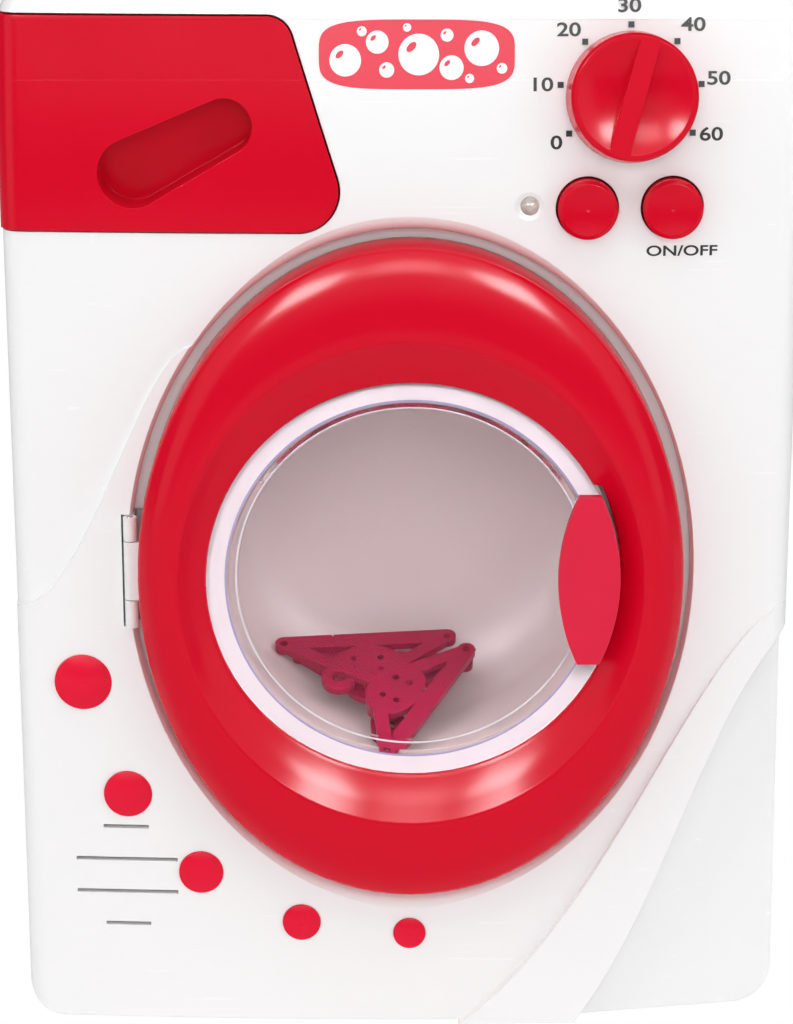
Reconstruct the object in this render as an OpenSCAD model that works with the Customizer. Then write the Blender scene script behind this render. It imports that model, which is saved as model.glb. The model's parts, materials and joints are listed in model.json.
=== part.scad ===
// Toy washing machine with a detergent drawer, a timer knob, two push buttons and a round window door.
// Millimetres. Z is up, the front faces -Y, and the origin is on the floor under the middle of the box.
// Inside the modules the depth y is counted from the foremost line of the front face, and from_face()
// puts it in place. Flat outlines on the front are drawn in x and z.

/* [Case] */
// Width of the case
body_w = 216; // [206:1:236]
// Depth of the case from the front face to the back
body_d = 160; // [150:1:200]
// Height of the case, feet included
body_h = 304; // [300:1:330]
// Height of the feet under the case
foot_h = 6; // [4:0.5:12]
// Radius of each round foot
foot_r = 8; // [6:0.5:12]
// Distance of the feet from the sides of the case
foot_inset = 22; // [20:1:30]
// Wall of the moulded case
wall = 2.4; // [1.8:0.1:3]
// Radius of the gentle crown across the front
crown_r = 1500; // [1200:50:3000]
// Radius of the upright edges of the front, which runs on round the top
edge_r = 6; // [5.5:0.1:7]
// Radius of the upright edges of the back
back_edge_r = 12; // [8:0.5:16]
// Radius of the lower corners seen from the front
foot_corner_r = 11; // [8:0.5:14]
// Height at which the front starts to lean back
bend_z = 235; // [230:1:240]
// Radius of the bend between the upright face and the leaning panel
bend_r = 250; // [220:5:300]
// Angle of the leaning control panel
lean = 10; // [8:0.5:12]
// Radius of the edge between the panel and the top
nose_r = 12; // [11:0.5:14]
// Depth of the parting line between the two halves of the case
split_y = 46; // [42:1:50]

/* [Relief of the front] */
// How far the scooped upper left field falls back along the S curve
scoop_depth = 1.9; // [1:0.1:2.2]
// How far the swoosh band stands proud at its foot
band_rise = 3.2; // [2:0.1:4]
// Set-back of the lower right corner beside the band
corner_near = 4; // [3:0.1:5]
// Set-back of the lower right corner at the side of the case
corner_far = 12; // [10:0.5:13]
// Set-back of that corner at the upper end of the band
corner_top = 5; // [4:0.5:6]

/* [Door] */
// Middle of the oval door across the face
door_x = 2.5; // [0:0.5:4]
// Height of the middle of the oval door
door_z = 142; // [140:0.5:144]
// Half width of the oval door
door_rx = 75.1; // [74:0.1:76]
// Half height of the oval door
door_rz = 93.5; // [92:0.1:94]
// Half width of the ridge that runs round the window funnel
ridge_rx = 64.4; // [63:0.1:65.5]
// Half height of the ridge
ridge_rz = 69.9; // [68:0.1:72]
// Middle of the window across the face
win_x = 2.9; // [2:0.1:4]
// Height of the middle of the window
win_z = 141.3; // [140:0.1:143]
// Radius of the window opening in the red ring
win_r = 56.8; // [55.5:0.1:57.2]
// How far the ridge stands in front of the case
door_proud = 14; // [12:0.5:16]
// Wall of the red ring
ring_wall = 2.2; // [1.8:0.1:2.6]
// Depth of the recess that the door closes into
recess_depth = 8; // [7.5:0.5:9]
// Gap between the door and the wall of the recess
door_gap = 2.8; // [2.5:0.1:3.2]
// Rounding of the lip round the recess
lip_r = 5; // [3:0.5:6]
// Distance of the hinge pin to the left of the door's edge
hinge_offset = 2.4; // [2.3:0.1:2.6]
// Radius of the hinge pin
hinge_pin_r = 0.9; // [0.8:0.05:1]
// Outer radius of the hinge knuckles
knuckle_r = 1.9; // [1.7:0.05:2]
// Length of the hinge along its pin
hinge_len = 32; // [30:1:36]
// Radius of the step in the window
step_r = 51; // [50:0.5:52.5]
// Radius of the clear pane inside the step
pane_r = 48; // [45:0.5:49]
// Wall of the clear window
pane_wall = 1.8; // [1.4:0.1:2.2]
// Height of the handle plate
handle_h = 48; // [44:1:50]
// Width of the handle plate
handle_w = 16.9; // [16:0.1:18]
// Thickness of the handle plate
handle_t = 3; // [2.6:0.1:3.4]

/* [Drum] */
// Inner radius of the drum
drum_r = 59; // [57:0.5:59.5]
// Depth of the drum's inner back wall behind the face
drum_back = 68; // [66:1:74]
// Depth of the drum's mouth behind the face
drum_mouth = 12.5; // [12:0.5:14]
// Radius of the curve between the drum's side and its back
drum_bowl_r = 20; // [14:1:22]
// Wall of the drum and of the tub round it
drum_wall = 2; // [1.6:0.1:2.4]
// Running gap between the drum and the tub
drum_gap = 1.6; // [1.2:0.1:2.4]
// Radius of the drum's steel axle
axle_r = 2.5; // [2:0.1:3]
// Length of the hub behind the drum
hub_len = 8; // [6:0.5:10]

/* [Drive] */
// Teeth of the large gear on the drum axle
drum_teeth = 48; // [44:1:56]
// Teeth of the small wheel of the idler
idler_small_teeth = 12; // [12:1:16]
// Teeth of the large wheel of the idler
idler_large_teeth = 40; // [36:1:44]
// Teeth of the motor pinion
pinion_teeth = 10; // [9:1:12]
// Module of the first gear pair, in millimetres of pitch diameter per tooth
slow_module = 1; // [0.9:0.05:1.1]
// Module of the gear pair at the motor
fast_module = 0.8; // [0.7:0.05:0.85]
// Thickness of the gears
gear_t = 4; // [3:0.5:5]
// Radius of the motor can
motor_r = 10; // [8:0.5:12]
// Length of the motor can
motor_len = 25; // [20:1:30]

/* [Timer knob] */
// Position of the knob across the panel
knob_x = 61; // [58:0.5:64]
// Height of the knob's middle
knob_z = 273.8; // [272:0.2:275]
// Radius of the knob at its base
knob_r = 17.5; // [15:0.5:18]
// Height of the knob over the panel
knob_h = 10; // [8:0.5:13]
// Width of the grip bar across the knob
bar_w = 5.5; // [4:0.5:7]
// Angle of the bar from upright at rest, clockwise
bar_angle = 15; // [0:5:30]
// Depth of the hollows on both sides of the bar
dish_depth = 3.2; // [2:0.2:4]
// Radius of the knob's shaft
shaft_r = 3.4; // [3:0.1:4]

/* [Buttons and light] */
// Position of the left button across the panel
left_button_x = 49.7; // [49:0.1:50]
// Position of the right button across the panel
right_button_x = 72.5; // [72:0.1:73]
// Height of both buttons' middles
button_z = 244.5; // [244:0.1:245]
// Radius of the buttons
button_r = 8; // [7:0.1:8.2]
// Gap round each button
button_gap = 0.5; // [0.4:0.05:0.8]
// Height of the buttons over the panel
button_h = 4.6; // [4:0.1:6]
// Travel of the buttons
button_travel = 2.5; // [2:0.1:3]
// Position of the light across the panel
led_x = 34.3; // [33.5:0.1:35]
// Height of the light's middle
led_z = 245; // [244.5:0.1:246]
// Radius of the light
led_r = 2.5; // [2:0.1:2.6]
// Depth of the control board behind the face
board_y = 27; // [26:0.5:32]

/* [Drawer] */
// Lower edge of the drawer front
drawer_z0 = 238; // [237:0.5:239]
// Upper edge of the drawer front
drawer_z1 = 294.8; // [290:0.2:296]
// Where the slanted edge would meet the lower edge
drawer_x0 = -12.9; // [-15:0.1:-12]
// Where the slanted edge would meet the upper edge
drawer_x1 = -30.9; // [-34:0.1:-30]
// Radius of the upper right corner
drawer_top_r = 7; // [5:0.5:9]
// Radius of the lower right corner
drawer_low_r = 11; // [8:0.5:12]
// How far the drawer front wraps along the side of the case
drawer_wrap = 24; // [22:1:30]
// Gap round the drawer front
drawer_gap = 0.5; // [0.4:0.1:0.8]
// How far the drawer front stands proud
drawer_proud = 0.6; // [0.4:0.1:1]
// Travel of the drawer
drawer_travel = 42; // [30:1:44]
// Length of the tray behind the drawer front
tray_len = 60; // [54:1:66]
// Wall of the tray
tray_wall = 1.8; // [1.4:0.1:2.2]
// Depth of the finger pocket in the drawer front
pocket_depth = 14; // [12:0.5:15]

/* [Dots and speaker] */
// Radius of the largest dot
dot_first_r = 8; // [7:0.1:8.5]
// Radius of the smallest dot
dot_last_r = 4.6; // [4:0.1:5]
// Spacing of the speaker slots
slot_pitch = 10; // [9:0.5:11]
// Height of one speaker slot
slot_h = 1.1; // [1:0.1:1.6]
// Length of the two long slots
slot_long = 29; // [26:0.5:32]
// Length of the two short slots
slot_short = 12.9; // [11:0.5:15]
// Position of the speaker across the face
speaker_x = -78.4; // [-79:0.1:-78]
// Height of the speaker's middle
speaker_z = 50.4; // [50:0.1:51]
// Radius of the speaker
speaker_r = 18; // [17:0.5:19]

/* [Hangers] */
// Length of a hanger's bar
hanger_w = 54; // [48:1:54]
// Thickness of a hanger
hanger_t = 2.4; // [2:0.1:2.6]
// Slope at which the pile of hangers lies in the drum
pile_slope = 24.8; // [22:0.2:27]

/* [Batteries] */
// Radius of a battery
cell_r = 7.1; // [6.8:0.1:7.2]
// Length of a battery
cell_len = 50; // [49:0.5:51]
// Number of batteries
cells = 3; // [2:1:3]
// Height of the lowest battery's middle
cell_z = 34; // [32:1:40]
// Distance between batteries
cell_pitch = 15.4; // [15:0.1:16]

/* [Hidden] */

$fn = 96;
white = [0.95, 0.95, 0.96];
red = [0.82, 0.02, 0.15];
handle_red = [0.84, 0.12, 0.24];
clear = [0.86, 0.84, 0.90, 0.35];
steel = [0.62, 0.62, 0.64];
black = [0.12, 0.12, 0.13];
tan_board = [0.55, 0.42, 0.24];
brass = [0.78, 0.62, 0.3];
cream = [0.9, 0.9, 0.86];

fit = 0.05;          // radial clearance of a pin in its hole
run = 0.3;           // clearance between parts that move past each other
root = 1.2;          // depth at which a post starts inside the wall that it stands on
eps = 0.01;
set_in = 0.05;       // how far the straight pieces of the case form are set in
run_in = 0.6;        // and how far they run into the rounded ones
over = 8;            // how far they run past the back before it is cut flat
screw_r = 1.5;
screw_head_r = 2.9;
screw_head_t = 2;
small_screw_r = 1.2;
small_head_r = 2.4;

// The case in its frame
face_y = -(body_d - door_proud) / 2;
side = body_w / 2;
bend_end_y = bend_r * (1 - cos(lean));
bend_end_z = bend_z + bend_r * sin(lean);
nose_z = body_h - nose_r;
lean_len = (nose_z - bend_end_z + nose_r * sin(lean)) / cos(lean);
nose_y = bend_end_y + nose_r * cos(lean) + lean_len * sin(lean);
edge_y = crown_r - sqrt(pow(crown_r - edge_r, 2) - pow(side - edge_r, 2));

// Points of a cubic curve
function curve(p, n) = [for (i = [0 : n]) let (t = i / n, s = 1 - t)
    s * s * s * p[0] + 3 * s * s * t * p[1] + 3 * s * t * t * p[2] + t * t * t * p[3]];
scoop_curve = curve([[-56.5, 206.5], [-72, 206], [-88, 126], [-side - 2, 130.6]], 16);
band_outer = curve([[side + 2, 133], [84, 128], [60, 36], [14, foot_h - 2]], 18);
band_inner = curve([[side + 2, 127], [86, 104], [74, 36], [48, foot_h - 2]], 18);
corner_x = 52;       // where the cut of the lower right corner starts
scoop_tilt = asin(scoop_depth / 100);
band_tilt = asin(band_rise / 154);
corner_turn = atan((corner_far - corner_near) / 46);
corner_tilt = atan((corner_near + (corner_far - corner_near) * 51 / 46 - corner_top) / 112);

// Screws that hold the two halves, at the parting line
case_bosses = [[-side + 13, 24], [side - 13, 24], [-side + 13, 205], [side - 13, 205],
    [-8, nose_z - 8], [side - 10, nose_z - 19]];
case_boss_r = 4.5;
case_screw_len = 12;

// Recess of the door, and the hinge and the catch in it
recess_rx = door_rx + door_gap;
recess_rz = door_rz + door_gap;
recess_back = recess_depth + wall;
port_r = drum_r + 1.5;
hinge_x = door_x - door_rx - hinge_offset;
hinge_y = 1;
hinge_z0 = door_z - hinge_len / 2;
hinge_z1 = door_z + hinge_len / 2;
knuckle_z0 = hinge_z0 + 8.3;
knuckle_z1 = hinge_z1 - 7;
hinge_room = 0.6;    // free space beside the knuckles
hook_x = door_x + door_rx - 8;
hook_w = 10;
hook_t = 3;
barb = 0.9;
hook_swing = 0.8;    // sideways room for the hook as the door swings out

// Door, from its front to its back
front_y = -door_proud;
win_plane = front_y + 7.5;
flange_y = win_plane + 1.5;
flange_t = 2;
ring_back = recess_depth - 1.5;
back_y = ring_back - 3.2;
skirt_wall = ring_wall + 0.1;
handle_y = win_plane - 5.6;
handle_x = 51.35;
handle_z = win_z + 2.1;
door_bosses = [for (a = [58, 122, 238, 302])
    [door_x + (door_rx - 8.1) * cos(a), door_z + (door_rz - 14.5) * sin(a)]];

// The ring's section: place between oval edge (0), ridge (1) and window (2), depth, and shift inwards
ring_section = [
    [0, ring_back, 0], [0, front_y + 7.5, 0], [0, front_y + 6, 0.3], [0, front_y + 5.2, 1.1],
    [0.15, front_y + 3.4, 0.8], [0.3, front_y + 2.2, 0.4],
    [0.45, front_y + 1.4, 0.1], [0.6, front_y + 0.8, 0],
    [0.85, front_y + 0.15, 0], [1, front_y, 0], [1.1, front_y + 0.5, 0], [1.35, front_y + 3, 0],
    [1.7, front_y + 5.6, 0], [1.92, win_plane - 0.6, 0], [2, win_plane, 0], [2, flange_y, 0],
    [2, flange_y, -4], [1.6, front_y + 5.2 + ring_wall, -1], [1.1, front_y + 1 + ring_wall, -0.4],
    [0.9, front_y + 0.3 + ring_wall, 0], [0.5, front_y + 1.4 + ring_wall, 0.2],
    [0, front_y + 7.4, skirt_wall], [0, ring_back, skirt_wall],
];

// Tub and drum, from the front to the back
tub_r = drum_r + drum_wall + drum_gap;
tub_ear_r = tub_r + drum_wall + 5;
tub_ear_w = 9.2;
tub_ear_t = 2.4;
tub_post = 6;
tub_ears = [for (a = [45 : 90 : 315]) [cos(a), sin(a)] * tub_ear_r];
tub_back = drum_back + drum_wall + hub_len + 0.5;
bush_len = 8;
bush_wall = 2.5;

// Gears: drum gear, idler with two wheels, pinion on the motor
gear_y = tub_back + bush_len + 0.6;
upper_gear_y = gear_y + gear_t + 0.6;
plate_y = upper_gear_y + gear_t + 1.8;
plate_t = 2.4;
idler_z = slow_module * (drum_teeth + idler_small_teeth) / 2;
motor_z = idler_z + fast_module * (idler_large_teeth + pinion_teeth) / 2;
idler_pin_r = 1.5;
shaft_motor_r = 1;
gear_posts = [[-34, 0], [34, 0], [-24, 46], [24, 46]];

// Control board with its posts, switches and buttons
board_posts = [[22, 232], [88, 232], [22, 262]];
board_t = 1.6;
switch_y = board_y - 9;
plunger_r = 2;
plunger_dip = 1.5;   // how far the plunger stands in the switch at rest
button_roof = button_h - 2.6;
button_back = -8;
collar_t = 1.3;
knob_seat = 9;       // length of the sleeve round the knob's shaft
dish_r = knob_r - 2.3;
dish_ball = (dish_r * dish_r + dish_depth * dish_depth) / (2 * dish_depth);

// Dots and speaker
dot_places = [[-89.4, 109.0], [-77.6, 75.5], [-57.2, 51.8], [-28.6, 36.6], [2.3, 33.3]];
dot_radii = [dot_first_r, 6.8, 6.3, 5.4, dot_last_r];
dot_seat = 0.9;
dot_peg = 0.35;      // radius of the peg as a share of the dot's
speaker_y = 12;
speaker_ears = [for (a = [135, 315]) [speaker_x, speaker_z] + (speaker_r + 2.2) * [cos(a), sin(a)]];

// Drawer: its front, the tray and the channel
drawer_slope = (drawer_x0 - drawer_x1) / (drawer_z1 - drawer_z0);
slot_low = [-72.2, 253.6];
slot_high = [-47.4, 266.1];
slot_low_r = 9.3;
slot_high_r = 7.5;
drawer_wall = 2.6;
pocket_wall = 2;
tray_x0 = -side + 9;
tray_x1 = -36;
tray_z0 = drawer_z0 + 3.5;
tray_z1 = tray_z0 + 40.5;
tray_y = pocket_depth + pocket_wall;
guide_wall = 2.2;

// Batteries, their box and the cover in the back
cover_t = 2.2;
box_wall = 1.6;
box_w = cell_len + 4 + 2 * box_wall;
box_z0 = cell_z - cell_r - 3;
box_z1 = cell_z + (cells - 1) * cell_pitch + cell_r + 3;
box_back = body_d - cover_t;
cell_y = box_back - cell_r - 0.4;
cover_w = box_w + 6;
cover_z0 = box_z0 - 3;
cover_z1 = box_z1 + 12;
frame_t = 3;
cover_screw_z = cover_z1 - 5;

// Pile of hangers in the drum: where the top layer touches the drum's lower edge
pile_y = 9;
pile_z = win_z - drum_r - 0.6;

// Depth of the face at a place on it, and its lean there
function crown(x) = crown_r - sqrt(crown_r * crown_r - x * x);
function lean_at(z) = z <= bend_z ? 0 : min(lean, asin(min(1, (z - bend_z) / bend_r)));
function lean_depth(z) = z <= bend_z ? 0
    : z < bend_end_z ? bend_r * (1 - cos(lean_at(z)))
    : bend_end_y + (z - bend_end_z) * tan(lean);
function surf(x, z) = crown(x) + lean_depth(z);

module from_face() translate([0, face_y, 0]) children();

// An outline in x and z, filled from depth y0 to depth y1
module slab(y0, y1) translate([0, y1, 0]) rotate([90, 0, 0]) linear_extrude(y1 - y0) children();

// A place on the front whose local z runs straight back
module about(x, z, y = 0) translate([x, y, z]) rotate([-90, 0, 0]) children();

// A place on the front whose local z points out of the face, square to it
module on_panel(x, z) translate([x, surf(x, z), z]) rotate([90 - lean_at(z), 0, 0]) children();

// The knob also leans sideways with the crown of the panel
module at_knob() on_panel(knob_x, knob_z) rotate([0, asin(knob_x / crown_r), 0]) children();

module rod(x, z, y0, y1, r) about(x, z, y0) cylinder(r = r, h = y1 - y0);

module tube(x, z, y0, y1, r_out, r_in) difference() {
    rod(x, z, y0, y1, r_out);
    rod(x, z, y0 - 1, y1 + 1, r_in);
}

module ellipse(rx, rz) scale([rx / rz, 1]) circle(rz);

module at_door() translate([door_x, door_z]) children();

module rod_z(x, y, z0, z1, r) translate([x, y, z0]) cylinder(r = r, h = z1 - z0);

// The sliver between a polygon's corner and a round of radius r in it
module corner_sliver(before, at, after, r) {
    u = (before - at) / norm(before - at);
    v = (after - at) / norm(after - at);
    half = acos(u * v) / 2;
    c = at + (u + v) / norm(u + v) * r / sin(half);
    t1 = at + u * r / tan(half);
    t2 = at + v * r / tan(half);
    difference() {
        polygon([c, c + 1.3 * (t1 - c), at + 0.3 * (at - c), c + 1.3 * (t2 - c)]);
        translate(c) circle(r + eps);
    }
}

// A convex polygon with its own rounding at each corner, 0 for a sharp one
module rounded(points, radii) difference() {
    n = len(points);
    polygon(points);
    for (i = [0 : n - 1]) if (radii[i] > 0)
        corner_sliver(points[(i + n - 1) % n], points[i], points[(i + 1) % n], radii[i]);
}

module rounded_box(x0, z0, x1, z1, r) rounded([[x0, z0], [x1, z0], [x1, z1], [x0, z1]], [r, r, r, r]);

// The part of a slot with two round ends that lies between its ends
module slot_middle(p1, r1, p2, r2) {
    a = atan2(p2.y - p1.y, p2.x - p1.x);
    b = acos((r1 - r2) / norm(p2 - p1));
    function on(p, r, t) = p + r * [cos(t), sin(t)];
    polygon([on(p1, r1, a + b), on(p1, r1, a - b), on(p2, r2, a - b), on(p2, r2, a + b)]);
}

module bar2d(p1, p2, w) {
    slot_middle(p1, w / 2, p2, w / 2);
    translate(p1) circle(w / 2);
    translate(p2) circle(w / 2);
}

// Cross-section of the case in x and depth: crowned front, rounded edges, straight sides
module case_section(d, deep) difference() {
    intersection() {
        translate([0, crown_r]) circle(crown_r + d, $fn = 360);
        translate([-side - d, -d - 1]) square([body_w + 2 * d, deep + d + 1]);
    }
    for (s = [-1, 1]) {
        c = [s * (side - edge_r), edge_y];
        u = (c - [0, crown_r]) / norm(c - [0, crown_r]);
        difference() {
            polygon([c, c + 2 * (edge_r + d) * u, c + 3 * (edge_r + d) * [s, -1],
                c + 2 * (edge_r + d) * [s, 0]]);
            translate(c) circle(edge_r + d);
        }
    }
}

// Turns the section about a line across the case, for the bend and the nose
module swept(y, z, r, from, to, d, deep) translate([0, y, z]) rotate([90, 0, -90]) rotate([0, 0, from])
    rotate_extrude(angle = to - from, $fn = 180) translate([r, 0]) rotate(90) case_section(d, deep);

// The whole case as one form, grown outward by d: the section runs up the face, round the bend,
// up the panel, round the nose and back along the top. The straight pieces beyond the bend are set in
// by a hair and run into the rounded ones, so that all of them join as one
module case_form(d) difference() {
    union() {
        translate([0, 0, foot_h - d]) linear_extrude(bend_z - foot_h + d) case_section(d, body_d + over);
        swept(bend_r, bend_z, bend_r, 0, lean, d, body_d - 30);
        translate([0, bend_r, bend_z]) rotate([-lean, 0, 0]) translate([0, -bend_r, -run_in])
            linear_extrude(lean_len + 2 * run_in) case_section(d - set_in, body_d - 30);
        swept(nose_y, nose_z, nose_r, lean, 90, d, nose_r - 1);
        translate([0, nose_y - run_in, body_h]) rotate([-90, 0, 0])
            linear_extrude(body_d + over - nose_y + run_in) case_section(d - set_in, nose_r);
        translate([-side - d + 2 * set_in, nose_y - 1.5, bend_z - 1])
            cube([body_w + 2 * d - 4 * set_in, body_d + over - nose_y + 1.5, nose_z - bend_z + 2.5]);
    }
    // Flat back
    translate([-side - 20, body_d + d, -20]) cube([body_w + 40, 2 * over, body_h + 40]);
    // Lower corners, back upright edges and the back edge of the top
    for (s = [-1, 1]) {
        slab(-20, body_d + 20)
            corner_round(s, -1, side - foot_corner_r, foot_h + foot_corner_r, foot_corner_r + d);
        translate([0, 0, -20]) linear_extrude(body_h + 40)
            corner_round(s, 1, side - back_edge_r, body_d - back_edge_r, back_edge_r + d);
    }
    translate([-side - 20, 0, 0]) rotate([90, 0, 90]) linear_extrude(body_w + 40)
        corner_round(1, 1, body_d - back_edge_r, body_h - back_edge_r, back_edge_r + d);
}

// What a square corner loses to a round of radius r about (cx, cy), towards (sx, sy)
module corner_round(sx, sy, cx, cy, r) translate([sx * cx, cy]) difference() {
    translate([sx > 0 ? 0 : -r - 5, sy > 0 ? 0 : -r - 5]) square(r + 5);
    circle(r);
}

// The upper left field, bounded by the S curve, tilts back a little towards it
module scoop_cut(extra) translate([0, extra, 0]) difference() {
    slab(-12 - extra, 14) translate([extra, -extra]) polygon(concat(scoop_curve,
        [[-side - 6, 130.6], [-side - 6, bend_z - 1], [door_x - 22, bend_z - 1], [door_x - 22, 190]]));
    translate([0, 0, bend_z - 3]) rotate([scoop_tilt, 0, 0])
        translate([0, 0, -180]) linear_extrude(200) case_section(0, 60);
}

// The lower right corner, cut back by a plane that falls away from the band
module corner_cut(extra) translate([-extra, extra, extra]) difference() {
    slab(-12 - extra, 40) polygon(concat(band_inner, [[side + 8, foot_h - 12], [side + 8, 127]]));
    translate([corner_x, corner_near, foot_h]) rotate([-corner_tilt, 0, corner_turn])
        translate([-100, 0, -60]) cube([240, 80, 260]);
}

// The band between the two swoosh curves stands proud, most at its foot
module band() intersection() {
    slab(-12, 6) polygon(concat(band_outer, [for (i = [len(band_inner) - 1 : -1 : 0]) band_inner[i]]));
    translate([0, 0, 160]) rotate([-band_tilt, 0, 0])
        translate([0, 0, -170]) linear_extrude(200) case_section(0, 60);
    case_form(band_rise + 2);
    slab(-12, 8) rounded_box(-side, foot_h, side, body_h, foot_corner_r);
}

module case_shell() difference() {
    union() {
        difference() {
            case_form(0);
            scoop_cut(0);
            corner_cut(0);
        }
        band();
    }
    difference() {
        case_form(-wall);
        scoop_cut(wall);
        corner_cut(wall);
    }
}

// Everything in front of the parting line
module front_half() translate([-side - 20, -20, -5]) cube([body_w + 40, split_y + 20, body_h + 20]);

// Outline of the drawer front, running past the left side of the case, and what its round corners take off
function drawer_points(grow) = [
    [-side - 8, drawer_z0 - grow], [drawer_x0 + grow * (1.05 + drawer_slope), drawer_z0 - grow],
    [drawer_x1 + grow * (1.05 - drawer_slope), drawer_z1 + grow], [-side - 8, drawer_z1 + grow]];

module drawer_corners(grow) {
    p = drawer_points(grow);
    corner_sliver(p[0], p[1], p[2], drawer_low_r + grow);
    corner_sliver(p[1], p[2], p[3], drawer_top_r + grow);
}

// The rounded lip of the door's recess
module recess_lip() translate([door_x, 0, door_z]) scale([recess_rx / recess_rz, 1, 1]) rotate([-90, 0, 0])
    rotate_extrude($fn = 180) difference() {
        translate([recess_rz - 2, -4]) square([lip_r + 2, lip_r + 4]);
        translate([recess_rz + lip_r, lip_r]) circle(lip_r);
    }

module speaker_slot(i) {
    w = (i == 1 || i == 2) ? slot_long : slot_short;
    slab(-5, speaker_y) translate([speaker_x - w / 2, speaker_z + (1.5 - i) * slot_pitch - slot_h / 2])
        square([w, slot_h]);
}

// A post on the inside of the front, up to depth y
module post(p, y, r) rod(p.x, p.y, surf(p.x, p.y) + root, y, r);

module front_shell() color(white) from_face() difference() {
    union() {
        intersection() {
            case_shell();
            front_half();
        }
        difference() {
            union() {
                // Wall and floor of the door's recess
                intersection() {
                    case_form(0);
                    slab(-5, recess_back) at_door() ellipse(recess_rx + wall, recess_rz + wall);
                }
                for (p = case_bosses) post(p, split_y, case_boss_r);
                for (p = board_posts) post(p, board_y, 3);
                for (p = speaker_ears) post(p, speaker_y, 3);
            }
            corner_cut(0);
            scoop_cut(0);
        }
        for (p = tub_ears) rod(win_x + p.x, win_z + p.y, recess_depth + 1, recess_back + tub_post, 3.4);
        tube(speaker_x, speaker_z, surf(speaker_x, speaker_z) + root, speaker_y, speaker_r, speaker_r - 2);
        // Sleeves round the knob's shaft, the buttons and the light
        at_knob() translate([0, 0, -knob_seat]) cylinder(r = shaft_r + 2.4, h = knob_seat - 1);
        for (x = [left_button_x, right_button_x]) on_panel(x, button_z)
            translate([0, 0, button_back + collar_t + run])
                cylinder(r = button_r + button_gap + 1.6, h = 5.4);
        on_panel(led_x, led_z) translate([0, 0, -6]) cylinder(r = led_r + 1.8, h = 5);
    }
    slab(-20, recess_depth) at_door() ellipse(recess_rx, recess_rz);
    recess_lip();
    slab(0, 30) translate([win_x, win_z]) circle(port_r);
    // Opening for the hinge knuckles and slot for the door's hook
    slab(-6, recess_back + 1) translate([hinge_x - knuckle_r - hinge_room, hinge_z0 - run])
        square([8, hinge_len + 2 * run]);
    slab(2, recess_back + 1) translate([hook_x - hook_t / 2 - 1, door_z - hook_w / 2 - 0.6])
        square([hook_t + 1 + barb + hook_swing, hook_w + 1.2]);
    // Opening for the drawer, which is open to the front and the left
    slab(-20, drawer_wrap + drawer_gap) difference() {
        polygon(drawer_points(drawer_gap));
        drawer_corners(drawer_gap);
    }
    for (p = case_bosses) rod(p.x, p.y, split_y - case_screw_len - 2, split_y + 1, screw_r + fit);
    for (p = tub_ears) rod(win_x + p.x, win_z + p.y, recess_back, recess_back + tub_post + 1, screw_r);
    for (p = board_posts) rod(p.x, p.y, board_y - 8, board_y + 1, small_screw_r);
    for (p = speaker_ears) rod(p.x, p.y, speaker_y - 6, speaker_y + 1, small_screw_r);
    at_knob() translate([0, 0, -12]) cylinder(r = shaft_r + fit, h = 20);
    for (x = [left_button_x, right_button_x]) on_panel(x, button_z)
        translate([0, 0, -12]) cylinder(r = button_r + button_gap, h = 20);
    on_panel(led_x, led_z) {
        translate([0, 0, -12]) cylinder(r = led_r + fit, h = 20);
        translate([0, 0, 9.2]) sphere(10);
    }
    for (i = [0 : 3]) speaker_slot(i);
    for (i = [0 : 4]) let (p = dot_places[i], y = surf(p.x, p.y)) {
        rod(p.x, p.y, y - 6, y + dot_seat, dot_radii[i] + fit);
        rod(p.x, p.y, y, y + 8, dot_radii[i] * dot_peg + fit);
    }
}

module rear_shell() color(white) from_face() difference() {
    union() {
        difference() {
            case_shell();
            front_half();
        }
        // Tubes that take the case screws from the back
        for (p = case_bosses) rod(p.x, p.y, split_y, body_d - wall + 0.3, case_boss_r);
        // Frame of the battery opening
        slab(body_d - wall - frame_t, body_d - 1)
            rounded_box(-cover_w / 2 - 3, cover_z0 - 3, cover_w / 2 + 3, cover_z1 + 3, 3);
    }
    for (p = case_bosses) {
        rod(p.x, p.y, split_y + case_screw_len, body_d + 1, screw_head_r + 0.2);
        rod(p.x, p.y, split_y - 1, split_y + case_screw_len + 1, screw_r + fit);
    }
    slab(box_back, body_d + 1)
        rounded_box(-cover_w / 2 - run, cover_z0 - run, cover_w / 2 + run, cover_z1 + run, 2);
    slab(body_d - 12, body_d) rounded_box(-box_w / 2 - fit, box_z0 - fit, box_w / 2 + fit, box_z1 + fit, 1);
    rod(0, cover_screw_z, body_d - 8, body_d + 1, small_screw_r);
}

module feet() color(black) from_face()
    for (x = [-1, 1], y = [foot_inset + 12, body_d - foot_inset])
        translate([x * (side - foot_inset), y, 0]) cylinder(r1 = foot_r - 0.6, r2 = foot_r, h = foot_h);

// A screw driven from the back: shank from y0 to y1, then the head
module screw(x, z, y0, y1, r = screw_r, head = screw_head_r) {
    rod(x, z, y0, y1, r);
    rod(x, z, y1, y1 + screw_head_t, head);
}

module case_screws() color(steel) from_face()
    for (p = case_bosses) screw(p.x, p.y, split_y - case_screw_len, split_y + case_screw_len);

// Domed red dots, each on a peg in the face
module dots() color(red) from_face()
    for (i = [0 : 4]) let (p = dot_places[i], r = dot_radii[i], y = surf(p.x, p.y), ball = 2.4 * r) {
        rod(p.x, p.y, y - 0.5, y + dot_seat, r);
        rod(p.x, p.y, y + dot_seat - eps, y + 4, r * dot_peg);
        intersection() {
            about(p.x, p.y, y - 0.5 - 0.22 * r + ball) sphere(ball);
            rod(p.x, p.y, y - 8, y - 0.5 + eps, r);
        }
    }

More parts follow.
